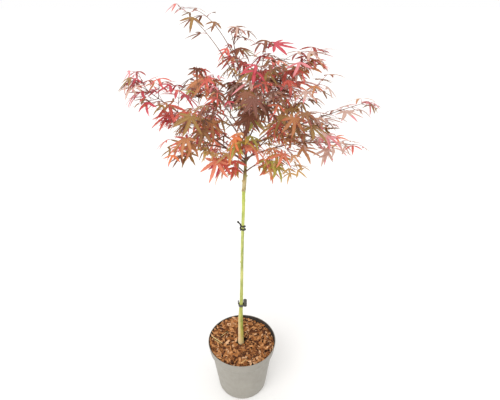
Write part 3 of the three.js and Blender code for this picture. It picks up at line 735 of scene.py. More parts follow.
class Nodes:
    """The node tree of one new material, with its Principled shader."""

    def __init__(self, name, roughness, specular, colour=UNPAINTED):
        self.material = bpy.data.materials.new(name)
        self.material.use_nodes = True
        self.tree = self.material.node_tree
        self.shader = self.tree.nodes["Principled BSDF"]
        self.shader.inputs["Base Color"].default_value = screen(colour)
        self.shader.inputs["Roughness"].default_value = roughness
        self.shader.inputs["Specular IOR Level"].default_value = specular

    def node(self, kind, **settings):
        made = self.tree.nodes.new(kind)
        for key, value in settings.items():
            if key in made.inputs:
                made.inputs[key].default_value = value
            else:
                setattr(made, key, value)
        return made

    def link(self, source, target):
        self.tree.links.new(source, target)

    def place(self, stretch=ALL_WAYS):
        """Each point's place on the piece in metres, stretched by a scale along each axis."""
        mapping = self.node("ShaderNodeMapping", Scale=stretch)
        self.link(self.node("ShaderNodeTexCoord").outputs["Object"], mapping.inputs["Vector"])
        return mapping.outputs["Vector"]

    def noise(self, size, detail=3, stretch=ALL_WAYS):
        """Blotches about a size in millimetres across."""
        scale = 1 / (size * METRES)
        texture = self.node("ShaderNodeTexNoise", Detail=detail, Roughness=NOISE_ROUGHNESS, Scale=scale)
        self.link(self.place(stretch), texture.inputs["Vector"])
        return texture.outputs["Fac"]

    def ramp(self, value, stops):
        """Colours at places from 0 to 1 along a value."""
        ramp = self.node("ShaderNodeValToRGB")
        elements = ramp.color_ramp.elements
        while len(elements) < len(stops):
            elements.new(0.5)
        for element, (position, colour) in zip(elements, stops):
            element.position = position
            element.color = screen(colour)
        self.link(value, ramp.inputs["Fac"])
        return ramp.outputs["Color"]

    def mix(self, share, first, second, way="MIX"):
        mix = self.node("ShaderNodeMix", data_type="RGBA", blend_type=way)
        self.link(first, mix.inputs[6])
        self.link(second, mix.inputs[7])
        if isinstance(share, float):
            mix.inputs[0].default_value = share
        else:
            self.link(share, mix.inputs[0])
        return mix.outputs[2]

    def span(self, value, low, high, new_low=0.0, new_high=1.0):
        """A value's range made into another, and cut off at its ends."""
        remap = self.node("ShaderNodeMapRange")
        limits = {"From Min": low, "From Max": high, "To Min": new_low, "To Max": new_high}
        for key, number in limits.items():
            remap.inputs[key].default_value = number
        self.link(value, remap.inputs["Value"])
        return remap.outputs["Result"]

    def paint(self, colour):
        self.link(colour, self.shader.inputs["Base Color"])

    def bumped(self, value, height, strength=1.0):
        """The finished material, with bumps of a height in millimetres."""
        bump = self.node("ShaderNodeBump", Strength=strength, Distance=height * METRES)
        self.link(value, bump.inputs["Height"])
        self.link(bump.outputs["Normal"], self.shader.inputs["Normal"])
        return self.material


def plain(name, roughness, specular, colour, grain, height, strength):
    """One colour with a fine relief: grain is the size and the detail of its noise."""
    nodes = Nodes(name, roughness, specular, colour)
    return nodes.bumped(nodes.noise(*grain), height, strength)


def mottled(name, roughness, specular, blotches, stops, grain, height, strength=1.0):
    """Blotches of a few colours with a fine relief. Blotches and grain are a noise's size and detail."""
    nodes = Nodes(name, roughness, specular)
    nodes.paint(nodes.ramp(nodes.noise(*blotches), stops))
    return nodes.bumped(nodes.noise(*grain), height, strength)


# Tints: the blade's colour, the tint that its tips turn to, its midribs' colour and its slot
# dusk is painted shade: a near-black brown for leaves in the crown's dark middle and back
TINTS = {
    "dusk": (0x5C321F, "maroon", 0x7A4530, "leaf_bronze"),
    "maroon": (0x7F4F38, "purple", 0x98644F, "leaf_bronze"),
    "purple": (0x74493C, "maroon", 0x8C6159, "leaf_bronze"),
    "umber": (0x8A603F, "maroon", 0xA67C5A, "leaf_bronze"),
    "olive_brown": (0x926D3E, "umber", 0xAC8E58, "leaf_bronze"),
    "russet": (0xB0734B, "brick", 0xC6906A, "leaf_bronze"),
    "mauve": (0xC6A191, "pink", 0xD6BAAC, "leaf_bronze"),
    "brick": (0xB65F40, "coral", 0xC78464, "leaf_red"),
    "coral": (0xCE6053, "crimson", 0xDD8878, "leaf_red"),
    "crimson": (0xBA434E, "pink", 0xCF6D72, "leaf_red"),
    "pink": (0xD88488, "coral", 0xE2A3A2, "leaf_red"),
    "orange": (0xD87648, "coral", 0xE09A60, "leaf_orange"),
    "peach": (0xD59C6E, "orange", 0xE3BA92, "leaf_orange"),
    "amber": (0xCDA04E, "orange", 0xDBBA76, "leaf_amber"),
    "olive": (0xA89B48, "amber", 0xC0B76C, "leaf_amber"),
    "salmon": (0xDC8064, "coral", 0xE8A488, "leaf_red"),
    "sand": (0xCBA368, "peach", 0xDABD8C, "leaf_amber"),
}
# The tints of each part of the crown, with their shares
# Where dusk has a share, it paints shade onto that part's leaves
MIXES = {
    "low_left": dict(coral=5, salmon=4, pink=2, sand=4, peach=2, amber=2, olive=2),
    "low_right": dict(amber=4, peach=4, salmon=4, sand=3, olive=2),
    "left_far": dict(coral=5, crimson=4, pink=1, russet=1, mauve=1, olive_brown=3),
    "left_low": dict(salmon=5, olive_brown=3, peach=2, orange=2, maroon=1, coral=2, olive=1),
    "left_high": dict(crimson=3, coral=3, pink=3, dusk=1, maroon=2, umber=2, sand=2),
    "front_left": dict(maroon=4, russet=1, olive_brown=4, umber=3, purple=1, coral=2, olive=1),
    "front": dict(dusk=5, maroon=3, purple=1, umber=3, olive=1, brick=1),
    "front_low": dict(salmon=5, coral=3, orange=2, peach=2, amber=3, sand=2, olive=3),
    "front_right": dict(russet=3, coral=4, umber=3, olive_brown=2, brick=1),
    "right_low": dict(mauve=8, pink=3, peach=2, salmon=1),
    "right_far": dict(mauve=6, peach=2, olive_brown=2, pink=1),
    "right_high": dict(coral=2, russet=3, umber=2, olive_brown=3, mauve=2),
    "top_right": dict(coral=3, pink=3, olive_brown=1, mauve=6, russet=1, sand=2),
    "top": dict(maroon=3, coral=4, crimson=1, umber=2, olive_brown=3, russet=3, mauve=2, sand=1),
    "whip": dict(olive_brown=3, mauve=3, umber=3, maroon=3),
    "back": dict(dusk=1, maroon=3, russet=3, salmon=2, umber=2, olive_brown=3, mauve=1, olive=1),
    "back_low": dict(salmon=3, amber=3, sand=2, coral=2, olive=2, peach=2),
    "young": dict(coral=4, crimson=3, pink=3),
}
YOUNG_MIX_CHANCE = 0.7
RED_TIPPED = ("left_far", "left_high", "right_far", "right_low", "top_right", "whip")
ODD_LEAF_CHANCE = 0.3

# A leaf's shape, in shares of its length and of its lobes' lengths
BASAL_LOBES = [(-126, 0.26), (126, 0.26)]
DEEP_NOTCH = 0.19
LONGEST_NOTCH = 0.5
FUSED_STATIONS = 2
FREE_STATIONS = 8
STATIONS = FUSED_STATIONS + FREE_STATIONS
OPEN_SIDE = 0.28
ROW = 4
LEAF_REACH = (0.98, 1.2)
LOBE_LENGTH = (0.9, 1.08)
LOBE_WIDTH = 0.095
LOBE_FOOT = 0.7
LOBE_SWELL = 1.65
LOBE_TAPER = 0.9
SHORT_LOBE_WIDTH = 0.6
LOBE_SPREAD = (0.8, 1.08)
SERRATION = 0.09
TOOTH_SIZE = (0.3, 1.5)
RIB_SHARE = 0.08
RIB_LIFT = 0.006
EDGE_LIFT = 0.25
LOBE_BEND = 0.16
OUTWARD_BEND = 0.06
BLADE_DROOP = 0.12
TIP_CURL = (0.02, 0.26)
TIP_TINT_FROM = (0.4, 1.5)
TIP_TINT_JITTER = 0.35
LEAF_ROUGHNESS = 0.5
RIB_ROUGHNESS = 0.45
LEAF_GLOSS = 0.22

# How leaves are held: lifts in degrees, by height above the fork and by reach from the crown's axis
HIGH_LIFT = 16
FAR_LIFT = 18
LIFT_JITTER = 10
LIFT_HEIGHTS = (250, 400)
LIFT_REACHES = (100, 230)
LIFT_STEP = 10
LOWEST_LIFT = -30
HIGHEST_LIFT = 50
BOX_MARGIN = 3
ALONG_WALL = 0.01

# The bare fork, seen from the front and a little above: its left, right and top
BARE_FORK = (-15, 32, 60)
FRONT_DROP = 0.5

# By mix: how much larger its leaves are drawn, and the share that is kept of those below the full size
GROWN = {
    "left_far": 1.2,
    "left_high": 0.75,
    "left_low": 0.92,
    "right_low": 0.94,
    "right_far": 1.32,
    "top_right": 1.45,
    "top": 1.14,
    "whip": 1.25,
    "back": 1.18,
    "front_low": 1.2,
    "front": 0.84,
    "front_left": 0.94,
    "front_right": 0.9,
}
KEPT = {"right_far": 0.6, "left_high": 0.5, "left_low": 0.8, "right_low": 0.75}
FULL_SIZE = 0.62

PETIOLE_SIDES = 5
PETIOLE_STEPS = 6
PETIOLE_THICKNESS = (0.75, 0.5)
PETIOLE_BOW = 0.12
PETIOLE_BEND_AT = 0.55
PETIOLE_RISE = 0.14
PETIOLE_OVERLAP = 0.02


def lobe_profile(way):
    """Half the width of a lobe, from notch to tip: it swells a little, then runs out long and thin."""
    return LOBE_WIDTH * (1 - way) ** LOBE_TAPER * (LOBE_FOOT + LOBE_SWELL * way)


def room_ahead(heel, way):
    """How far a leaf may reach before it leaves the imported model's box."""
    low, high = np.array(CAD_BOX) / METRES
    walls = np.where(way > 0, high + BOX_MARGIN, low - BOX_MARGIN)
    return ((walls - heel) / np.where(abs(way) < ALONG_WALL, ALONG_WALL, way)).min()


def over_fork(heel, way, size):
    """The leaf's heel, middle or tip hangs in front of the bare fork of the stem."""
    left, right, top = BARE_FORK
    for share in (0, 0.5, 1):
        spot = heel + way * size * share
        seen_at = spot[2] + FRONT_DROP * spot[1] - FORK_HEIGHT
        if left < spot[0] - CROWN_AXIS < right and seen_at < top:
            return True
    return False


def held_up(leaf, size, random):
    """The way, face and size of a leaf: high up or far to a side it is held nearly level, else it hangs.

    It is dropped where the box is near, lifted clear of the bare fork, and has no size where that fails.
    """

    def lifted(direction):
        return turned(direction, leaf.across, -math.radians(lift))

    high = np.interp(leaf.heel[2] - FORK_HEIGHT, LIFT_HEIGHTS, (0, HIGH_LIFT))
    far = np.interp(abs(leaf.heel[0] - CROWN_AXIS), LIFT_REACHES, (0, FAR_LIFT))
    lift = max(high, far) + LIFT_JITTER * random.uniform(-1, 1)
    way = lifted(leaf.along)
    while room_ahead(leaf.heel, way) < size and lift > LOWEST_LIFT:
        lift -= LIFT_STEP
        way = lifted(leaf.along)
    while over_fork(leaf.heel, way, size) and lift < HIGHEST_LIFT:
        lift += LIFT_STEP
        way = lifted(leaf.along)
    reach = 0 if over_fork(leaf.heel, way, size) else min(size, room_ahead(leaf.heel, way))
    return way, lifted(leaf.face), reach


def lobe_faces():
    """The faces of one lobe: each with whether it is on the midrib, and how far towards the tip it lies."""
    faces = [((0, 1 + j, 2 + j), j == 1, -1) for j in range(3)]
    for k in range(STATIONS - 2):
        for j in range(3):
            p = 1 + ROW * k + j
            faces.append(((p, p + ROW, p + ROW + 1, p + 1), j == 1, k / STATIONS))
    last = 1 + ROW * (STATIONS - 2)
    return faces + [((last + j, last + ROW, last + j + 1), False, 1) for j in range(3)]


LOBE_FACES = lobe_faces()


def lobe_rows(random, size, share, length, before, after):
    """Rows of points from the heel to the tip: how far each lies beside the midrib, and along it."""
    notch = min(size * DEEP_NOTCH, length * LONGEST_NOTCH)
    slimness = min(1, SHORT_LOBE_WIDTH + share / 2)
    sides, reaches = [], []
    for k in range(1, STATIONS + 1):
        if k <= FUSED_STATIONS:
            middle = notch * k / FUSED_STATIONS
            left, right = -middle * math.sin(before), middle * math.sin(after)
            left_reach, right_reach = middle * math.cos(before), middle * math.cos(after)
        else:
            run = (k - FUSED_STATIONS) / FREE_STATIONS
            middle = left_reach = right_reach = notch + (length - notch) * run
            tooth = (SERRATION if k % 2 else -SERRATION) * random.uniform(*TOOTH_SIZE)
            right = size * lobe_profile(run) * slimness * (1 + tooth)
            left = -right
        rib = RIB_SHARE * (right - left) / 2
        sides.append((left, -rib, rib, right))
        reaches.append((left_reach, middle, middle, right_reach))
    return np.array(sides), np.array(reaches)


def add_leaf_blade(sheets, leaf, random, grown, blade, tip, rib):
    """Each lobe is a strip with a raised midrib and lifted edges, joined to its neighbours at its foot."""
    way, face, size = held_up(leaf, leaf.size * grown * random.uniform(*LEAF_REACH), random)
    if size == 0:
        return False
    lobes = sorted(leaf.lobes + (BASAL_LOBES if leaf.lobes is LOBES else []))
    spread = random.uniform(*LOBE_SPREAD)
    angles = [math.radians(angle) * spread for angle, _ in lobes]
    curl = random.uniform(*TIP_CURL)
    turning = random.uniform(*TIP_TINT_FROM)
    for i, (angle, (_, share)) in enumerate(zip(angles, lobes)):
        before = (angle - angles[i - 1]) / 2 if i else OPEN_SIDE
        after = (angles[i + 1] - angle) / 2 if i + 1 < len(lobes) else OPEN_SIDE
        length = size * share * random.uniform(*LOBE_LENGTH)
        tip_from = turning + random.uniform(-1, 1) * TIP_TINT_JITTER
        bend = random.uniform(-1, 1) * LOBE_BEND + angle * OUTWARD_BEND
        side, reach = lobe_rows(random, size, share, length, before, after)
        turn = angle + bend * (reach / length) ** 2
        height = EDGE_LIFT * np.abs(side) - BLADE_DROOP * reach - curl * reach * (reach / size) ** 2
        height[:, 1:3] += RIB_LIFT * size
        forward = reach * np.cos(turn) - side * np.sin(turn)
        aside = reach * np.sin(turn) + side * np.cos(turn)
        points = forward[..., None] * way + aside[..., None] * leaf.across + height[..., None] * face
        outline = np.concatenate([np.zeros((1, 3)), points.reshape(-1, 3)[: 1 - ROW]])
        finishes = [rib if on_rib else tip if at > tip_from else blade for _, on_rib, at in LOBE_FACES]
        sheets.add(leaf.heel + outline, [corners for corners, _, _ in LOBE_FACES], finishes)
    return True


def add_petiole(sheets, leaf, random):
    """A thin stalk that leaves its twig outwards and turns over into the blade."""
    reach = leaf.heel - leaf.node
    length = math.sqrt(reach @ reach)
    bow = random.uniform(-PETIOLE_BOW, PETIOLE_BOW) * length
    control = leaf.node + reach * PETIOLE_BEND_AT + UP * (PETIOLE_RISE * length) + leaf.across * bow
    inner = leaf.heel + leaf.along * (PETIOLE_OVERLAP * leaf.size)
    points = bezier(leaf.node, control, inner, PETIOLE_STEPS)
    add_tube(sheets, points, np.linspace(*PETIOLE_THICKNESS, len(points)), PETIOLE_SIDES)


def spray_tint(leaf, shoot):
    """One tint for the leaves of a spray, with an odd leaf now and then, and redder ones at shoots' tips."""
    random = np.random.default_rng([shoot.index, leaf.spray])
    young = random.random() < YOUNG_MIX_CHANCE and leaf.at_tip and shoot.mix in RED_TIPPED
    mix = MIXES["young" if young else shoot.mix]
    shares = np.array(list(mix.values()), float)
    picks = random.choice(list(mix), size=2, p=shares / shares.sum())
    odd = np.random.default_rng([shoot.index, int(leaf.heel[2] * 100)]).random() < ODD_LEAF_CHANCE
    return str(picks[1 if odd else 0])


def thinned_out(leaf, shoot):
    """Some of the young leaves are left off the shoots that are open."""
    random = np.random.default_rng([shoot.index, leaf.spray, int(leaf.size * 100)])
    return leaf.size < shoot.leaf * FULL_SIZE and random.random() > KEPT.get(shoot.mix, 1)


def leaf_materials(part, column, roughness):
    """For each tint, the material of one part of its leaves."""
    return {
        tint: plain(part + tint, roughness, LEAF_GLOSS, row[column], (2.2, 4), 0.25, 0.5)
        for tint, row in TINTS.items()
    }


def tints_of(slot):
    """The tints whose blades have a slot, and those of other slots that their tips turn to."""
    own = [tint for tint, row in TINTS.items() if row[3] == slot]
    return own, sorted({TINTS[tint][1] for tint in own} - set(own))


def add_leaves(masses):
    blades = leaf_materials("leaf_", 0, LEAF_ROUGHNESS)
    ribs = leaf_materials("rib_", 2, RIB_ROUGHNESS)
    kinds = {}
    petioles = Sheets()
    for mass in masses:
        shoot = mass.shoot
        for leaf in mass.leaves:
            if thinned_out(leaf, shoot):
                continue
            tint = spray_tint(leaf, shoot)
            _, tip_tint, _, slot = TINTS[tint]
            own, others = tints_of(slot)
            sheets = kinds.setdefault(slot, Sheets())
            blade, tip = (own + others).index(tint), (own + others).index(tip_tint)
            rib = len(own) + len(others) + own.index(tint)
            random = np.random.default_rng([shoot.index, int(abs(leaf.heel[0]) * 1000), leaf.spray])
            if add_leaf_blade(sheets, leaf, random, GROWN.get(shoot.mix, 1), blade, tip, rib):
                add_petiole(petioles, leaf, random)
    for slot, sheets in kinds.items():
        own, others = tints_of(slot)
        materials = [blades[tint] for tint in own + others] + [ribs[tint] for tint in own]
        sheets.piece("leaves_" + slot.removeprefix("leaf_"), materials, slot)
    stalk = plain("petiole", 0.45, 0.4, 0xA8605A, (1.5, 3), 0.1, 0.4)
    petioles.piece("petioles", [stalk], "leaf_red")


# Boughs and twigs
SHOOT_SIDES = 10
SHOOT_STEP = 4
SHOOT_TIP_RADIUS = 0.7
SHOOT_RELIEF = (9, 0.07)
SHOOT_RELIEF_SEED = 20
BOUGH_END_RADIUS = 1.6
WHIP_THINNING = 0.6
COLLAR_SWELL = 0.5
COLLAR_LENGTH = 7
NODE_SWELL = 0.28
NODE_LENGTH = 3
TWIG_SIDES = 6
TWIG_STEPS = 7
TWIG_RADII = (1, 0.55)
TWIG_FOOT_SWELL = 1.5
TWIG_NODE_SWELL = 1.25
TWIG_RELIEF = (6, 0.06)
TWIG_RELIEF_SEED = 60
TWIG_SAG = 0.06
TWIG_WANDER = 0.05
TWIG_GRAIN = (1.4, 4)
FINE_BARK = 3.5
BUD_LENGTH = (3, 5)
BUD_AT = np.array([0, 0.35, 0.75, 1])
BUD_RADII = 0.9 * np.array([0.7, 1.0, 0.65, 0.12])
BUD_SIDES = 5
BUD_SPREAD = 0.5
BUD_SEED = 11


def bark_relief(wavelength, depth, seed):
    """Scales a limb's radius by shallow bumps and finer grain."""

    def relief(skin):
        coarse = ripple(skin, wavelength, seed)
        fine = ripple(skin, wavelength / FINE_BARK, seed + 1)
        return 1 + depth * coarse + depth / 2 * fine

    return relief


def shoot_radii(shoot, shares):
    """The bough's taper, then the thinner stem of its mass, with a collar at the root and rings at nodes."""
    root_radius = shoot.bough_radii()[0]
    radii = np.interp(shares, [0, shoot.share, 1], [root_radius, BOUGH_END_RADIUS, SHOOT_TIP_RADIUS])
    if shoot.twig_chance == 0:
        radii = radii * WHIP_THINNING
    distance = shares * shoot.length
    radii = radii * (1 + COLLAR_SWELL * np.exp(-distance / COLLAR_LENGTH))
    for node in np.arange(shoot.internode, shoot.length, shoot.internode):
        radii = radii * (1 + NODE_SWELL * hump(distance - node, NODE_LENGTH))
    return radii


def add_bud(sheets, root, way, random):
    length = random.uniform(*BUD_LENGTH)
    add_tube(sheets, root + way * (length * BUD_AT)[:, None], BUD_RADII, BUD_SIDES)


def add_twig(sheets, start, end, random):
    """A sagging twig, thicker at its foot and at its middle node. Gives the way that its end points."""
    length = math.dist(start, end)
    wander = random.normal(size=3) * TWIG_WANDER * length
    control = (start + end) / 2 - UP * TWIG_SAG * length + wander
    radii = np.linspace(*TWIG_RADII, TWIG_STEPS + 1)
    radii[0] *= TWIG_FOOT_SWELL
    radii[TWIG_STEPS // 2] *= TWIG_NODE_SWELL
    relief = bark_relief(*TWIG_RELIEF, TWIG_RELIEF_SEED)
    add_tube(sheets, bezier(start, control, end, TWIG_STEPS), radii, TWIG_SIDES, relief)
    return unit(end - control)


def add_limbs(masses):
    shoots, twigs, buds = Sheets(), Sheets(), Sheets()
    random = np.random.default_rng(BUD_SEED)
    for mass in masses:
        shoot = mass.shoot
        shares = np.linspace(0, 1, int(shoot.length / SHOOT_STEP) + 1)
        points = np.array([shoot.point(share) for share in shares])
        relief = bark_relief(*SHOOT_RELIEF, SHOOT_RELIEF_SEED + shoot.index)
        add_tube(shoots, points, shoot_radii(shoot, shares), SHOOT_SIDES, relief)
        way = shoot.tangent(1)
        for side in (-BUD_SPREAD, BUD_SPREAD):
            add_bud(buds, shoot.tip, unit(way + cross(way, UP) * side), random)
        for start, end in mass.twigs:
            way = add_twig(twigs, start, end, random)
            add_bud(buds, end, way, random)
    twig_bark = plain("twig", 0.5, 0.4, 0x8A5E52, TWIG_GRAIN, 0.2, 0.6)
    bud_bark = plain("bud", 0.5, 0.4, 0x8C3F3C, TWIG_GRAIN, 0.2, 0.6)
    shoots.piece("boughs", [bough_bark()], "bough_bark", ["bough_" + shoot.name for shoot in SHOOTS])
    twigs.piece("twigs", [twig_bark], "bough_bark", ["foliage_" + shoot.name for shoot in SHOOTS])
    buds.piece("buds", [bud_bark], "bough_bark")


def bough_bark():
    """Purple-brown bark with paler grey patches and fine grain."""
    nodes = Nodes("bough_bark", 0.6, 0.35)
    patches = nodes.ramp(nodes.noise(14), [(0.3, 0x6A4840), (0.5, 0x8C6254), (0.7, 0xA08C74)])
    grain = nodes.ramp(nodes.noise(2.5, 4), [(0.3, 0xB8A898), (0.7, 0xFFFFFF)])
    nodes.paint(nodes.mix(1.0, patches, grain, "MULTIPLY"))
    return nodes.bumped(nodes.noise(1.6, 5), 0.3)


# Stem: the graft's line is oblique, and the scion above it is browner and thinner
STEM_SIDES = 32
STEM_STEP = 2.5
STEM_FOOT = 186
GRAFT_HEIGHT = 874
GRAFT_SLANT = 4
GRAFT_TURN = 0.6
GRAFT_EDGE = 0.9
GRAFT_LENGTH = 9
GRAFT_LIP = 1.6
GRAFT_LEVEL = 0.55
SCION_GIRTH = [(868, 1.0), (884, 0.84), (960, 0.84), (1030, 0.96)]
STEM_RINGS_AT = (262, 318, 372, 455, 548, 634, 716, 792, 838, 905, 958, 1006, 1034)
STEM_RING_HEIGHT = 0.45
STEM_RING_LENGTH = 2.2
STEM_RING_WAVER = 0.8
STEM_BUMPS = [(0.22, 16, 3), (0.12, 4.5, 4)]
FOOT_RIBS = 3
FOOT_RIB_HEIGHT = 0.5
FOOT_RIB_WAVER = (60, 5)
FOOT_FADE = (300, 100)
STUBS = [(598, 200, 2.8), (903, 150, 2.6), (921, 20, 2.8), (962, 190, 2.4)]
STUB_LENGTH = 1.8
STUB_RISE = 0.45
STUB_TAPER = np.array([1, 0.9, 0.6])
STUB_SIDES = 12


def stem_surface(heights, turns):
    """The stem's skin: its taper, an oblique step at the graft, rings at old nodes and uneven bark."""
    axis = np.interp(heights, STEM_POINTS[:, 2], STEM_POINTS[:, 0])[..., None] * (1, 0, 0)
    radius = stem_radius_at(heights) * np.interp(heights, *zip(*SCION_GIRTH))
    above = heights - GRAFT_HEIGHT - GRAFT_SLANT * np.cos(turns - GRAFT_TURN)
    step = 1 / (1 + np.exp(-above / GRAFT_EDGE)) - GRAFT_LEVEL
    radius = radius + hump(above, GRAFT_LENGTH) * step * GRAFT_LIP
    for ring in STEM_RINGS_AT:
        waver = STEM_RING_WAVER * np.cos(turns + ring)
        radius = radius + STEM_RING_HEIGHT * hump(heights - ring - waver, STEM_RING_LENGTH)
    skin = polar(radius, turns, heights) + axis
    foot = np.clip((FOOT_FADE[0] - heights) / FOOT_FADE[1], 0, 1)
    for depth, wavelength, seed in STEM_BUMPS:
        radius = radius + depth * ripple(skin, wavelength, seed)
    radius = radius + np.sin(FOOT_RIBS * turns + ripple(skin, *FOOT_RIB_WAVER)) * foot * FOOT_RIB_HEIGHT
    return polar(radius, turns, heights) + axis


def add_stem():
    sheets = Sheets()
    top = STEM_LEVELS[-1][0]
    heights = np.append(np.arange(STEM_FOOT, top, STEM_STEP), top)
    skin = stem_surface(*np.meshgrid(heights, circle(STEM_SIDES), indexing="ij"))
    sheets.add(skin, closed_faces(len(heights), STEM_SIDES))
    for height, bearing, radius in STUBS:
        out = polar(1, math.radians(bearing), STUB_RISE)
        girth = stem_radius_at(height)
        reaches = np.array([[0], [girth + 1], [girth + STUB_LENGTH]])
        add_tube(sheets, stem_point_at(height) + out * reaches, radius * STUB_TAPER, STUB_SIDES)
    sheets.piece("stem_bark", [stem_bark()], "stem_bark", ["stem"])


STEM_TONES = [
    (200, 0xD2BC94),
    (228, 0xCEB67A),
    (262, 0xBEB25C),
    (300, 0xABAA4C),
    (420, 0xB9BC62),
    (560, 0xC2C274),
    (740, 0xBFC46C),
    (872, 0xC3CC5E),
    (877, 0xC6B584),
    (908, 0xC6B684),
    (945, 0x969048),
    (1000, 0x75693F),
    (1068, 0x63503E),
]
STREAKS = [(0.38, 0xD0B69E), (0.48, 0xF2E8D8), (0.56, 0xFFFFFF)]
SCION_FROM = (873, 879)
# Painted light on the stem's left side: the sideways places and the heights where it fades out, in mm
PAINTED_LIGHT_SIDE = (-11, -2)
PAINTED_LIGHT_TOP = (270, 400)


def stem_bark():
    """Tan at the foot, yellow-green up to the graft, then pale with streaks, and brown towards the top.
    Painted light makes the left side of the lower stem a paler tan.
    """
    nodes = Nodes("stem_bark", 0.5, 0.4)
    split = nodes.node("ShaderNodeSeparateXYZ")
    nodes.link(nodes.place(), split.inputs[0])

    def between_places(axis, places, *limits):
        return nodes.span(split.outputs[axis], places[0] * METRES, places[1] * METRES, *limits)

    low, high = STEM_TONES[0][0], STEM_TONES[-1][0]
    stops = [((height - low) / (high - low), colour) for height, colour in STEM_TONES]
    tones = nodes.ramp(between_places("Z", (low, high)), stops)
    patches = nodes.ramp(nodes.noise(18, 3, (1, 1, 0.4)), [(0.35, 0xA8B890), (0.6, 0xFFFFFF)])
    toned = nodes.mix(0.8, tones, patches, "MULTIPLY")
    specks = nodes.ramp(nodes.noise(2.6, 2, (1, 1, 0.5)), [(0.62, 0x000000), (0.72, 0xFFFFFF)])
    pale = nodes.ramp(nodes.noise(30), [(0.0, 0xD9D6B4), (1.0, 0xC8BE96)])
    streaks = nodes.ramp(nodes.noise(7, 4, (1, 1, 0.22)), STREAKS)
    scion = between_places("Z", SCION_FROM)
    streaked = nodes.mix(scion, toned, nodes.mix(1.0, toned, streaks, "MULTIPLY"))
    specked = nodes.mix(nodes.span(specks, 0, 1, 0, 0.5), streaked, pale)
    # Painted light: the bark's left side is mixed into pale tan, fully below 270 mm and fading out by 400 mm
    painted_light_mask = nodes.node("ShaderNodeMath", operation="MULTIPLY")
    nodes.link(between_places("X", PAINTED_LIGHT_SIDE, 1, 0), painted_light_mask.inputs[0])
    nodes.link(between_places("Z", PAINTED_LIGHT_TOP, 1, 0), painted_light_mask.inputs[1])
    tan = nodes.ramp(nodes.noise(9, 3, (1, 1, 0.5)), [(0.3, 0xDCC08E), (0.7, 0xF0D6B0)])
    nodes.paint(nodes.mix(painted_light_mask.outputs[0], specked, tan))
    return nodes.bumped(nodes.noise(3, 5, (1, 1, 0.35)), 0.5, 0.7)


# Pot
POT_HEIGHT = 229
POT_BASE_RADIUS = 94
POT_BODY_RADIUS = 117
POT_RIM_RADIUS = 130
POT_WALL = 2
POT_FLOOR = 3
COLLAR_HEIGHT = 44
COLLAR_FLARE = 4
COLLAR_LIP = 5
FOOT_BEVEL = 4
RIM_BEVEL = 1.5
POT_SEGMENTS = 144
CORNER_STEPS = 5
DRAIN_HOLES = 8
DRAIN_RADIUS = 7
DRAIN_CIRCLE = 72
DRILL_SIDES = 24
DRILL_DROP = 5
DRILL_LENGTH = 15
FACING_UP = 0.9


def rounded(corners):
    """An outline with its corners rounded: each corner is a place and how far from it the round starts."""
    outline = []
    for i, (point, reach) in enumerate(corners):
        point = np.array(point, float)
        if reach == 0:
            outline.append(point)
            continue
        to_last = unit(np.array(corners[i - 1][0], float) - point)
        to_next = unit(np.array(corners[i + 1][0], float) - point)
        outline.extend(bezier(point + to_last * reach, point, point + to_next * reach, CORNER_STEPS))
    return np.array(outline)


def pot_outline():
    """Radii and heights from the middle of the underside, up the outside and down the inside."""
    collar_foot = POT_HEIGHT - COLLAR_HEIGHT
    outer = POT_RIM_RADIUS - COLLAR_FLARE
    base_inside = POT_BASE_RADIUS - POT_WALL
    return rounded(
        [
            ((1, 1.2), 0),
            ((POT_BASE_RADIUS - 14, 1.2), 0.6),
            ((POT_BASE_RADIUS - 13, 0), 0.5),
            ((POT_BASE_RADIUS - FOOT_BEVEL / 2, 0), FOOT_BEVEL / 2),
            ((POT_BASE_RADIUS + 0.6, FOOT_BEVEL + 2), 2.5),
            ((POT_BODY_RADIUS - 0.6, collar_foot - 9), 4),
            ((POT_BODY_RADIUS + 2, collar_foot - 1), 4),
            ((outer - 0.6, collar_foot + COLLAR_LIP + 2), 5),
            ((POT_RIM_RADIUS - 1.8, POT_HEIGHT - 6), 2),
            ((POT_RIM_RADIUS, POT_HEIGHT - 3.4), 1.2),
            ((POT_RIM_RADIUS, POT_HEIGHT), RIM_BEVEL),
            ((POT_RIM_RADIUS - POT_WALL - 0.4, POT_HEIGHT), 1),
            ((POT_RIM_RADIUS - POT_WALL - 1.4, POT_HEIGHT - 8), 3),
            ((outer - POT_WALL - 0.6, collar_foot + COLLAR_LIP + 4), 4),
            ((POT_BODY_RADIUS - POT_WALL, collar_foot - 2), 4),
            ((base_inside, FOOT_BEVEL + POT_FLOOR), 3),
            ((base_inside - FOOT_BEVEL, POT_FLOOR + 1), 2),
            ((1, POT_FLOOR + 1), 0),
        ]
    )


def lathe(outline):
    """The outline turned about the middle, closed at both ends, as points and faces."""
    rings = polar(outline[:, :1], circle(POT_SEGMENTS), outline[:, 1:])
    return rings.reshape(-1, 3), closed_faces(len(outline), POT_SEGMENTS)


def with_drain_holes(mesh):
    """The pot's mesh, cut through the floor by a circle of drills."""
    drills = Sheets()
    for turn in circle(DRAIN_HOLES):
        foot = polar(DRAIN_CIRCLE, turn, -DRILL_DROP)
        add_tube(drills, [foot, foot + UP * DRILL_LENGTH], DRAIN_RADIUS, DRILL_SIDES)
    drill = new_object("drills", new_mesh("drills", np.concatenate(drills.points), drills.faces))
    pot = new_object("uncut_pot", mesh)
    cut = pot.modifiers.new("holes", "BOOLEAN")
    cut.object = drill
    cut.operation = "DIFFERENCE"
    cut.solver = "EXACT"
    graph = bpy.context.evaluated_depsgraph_get()
    made = bpy.data.meshes.new_from_object(pot.evaluated_get(graph))
    for obj in (drill, pot):
        bpy.data.objects.remove(obj)
    return made


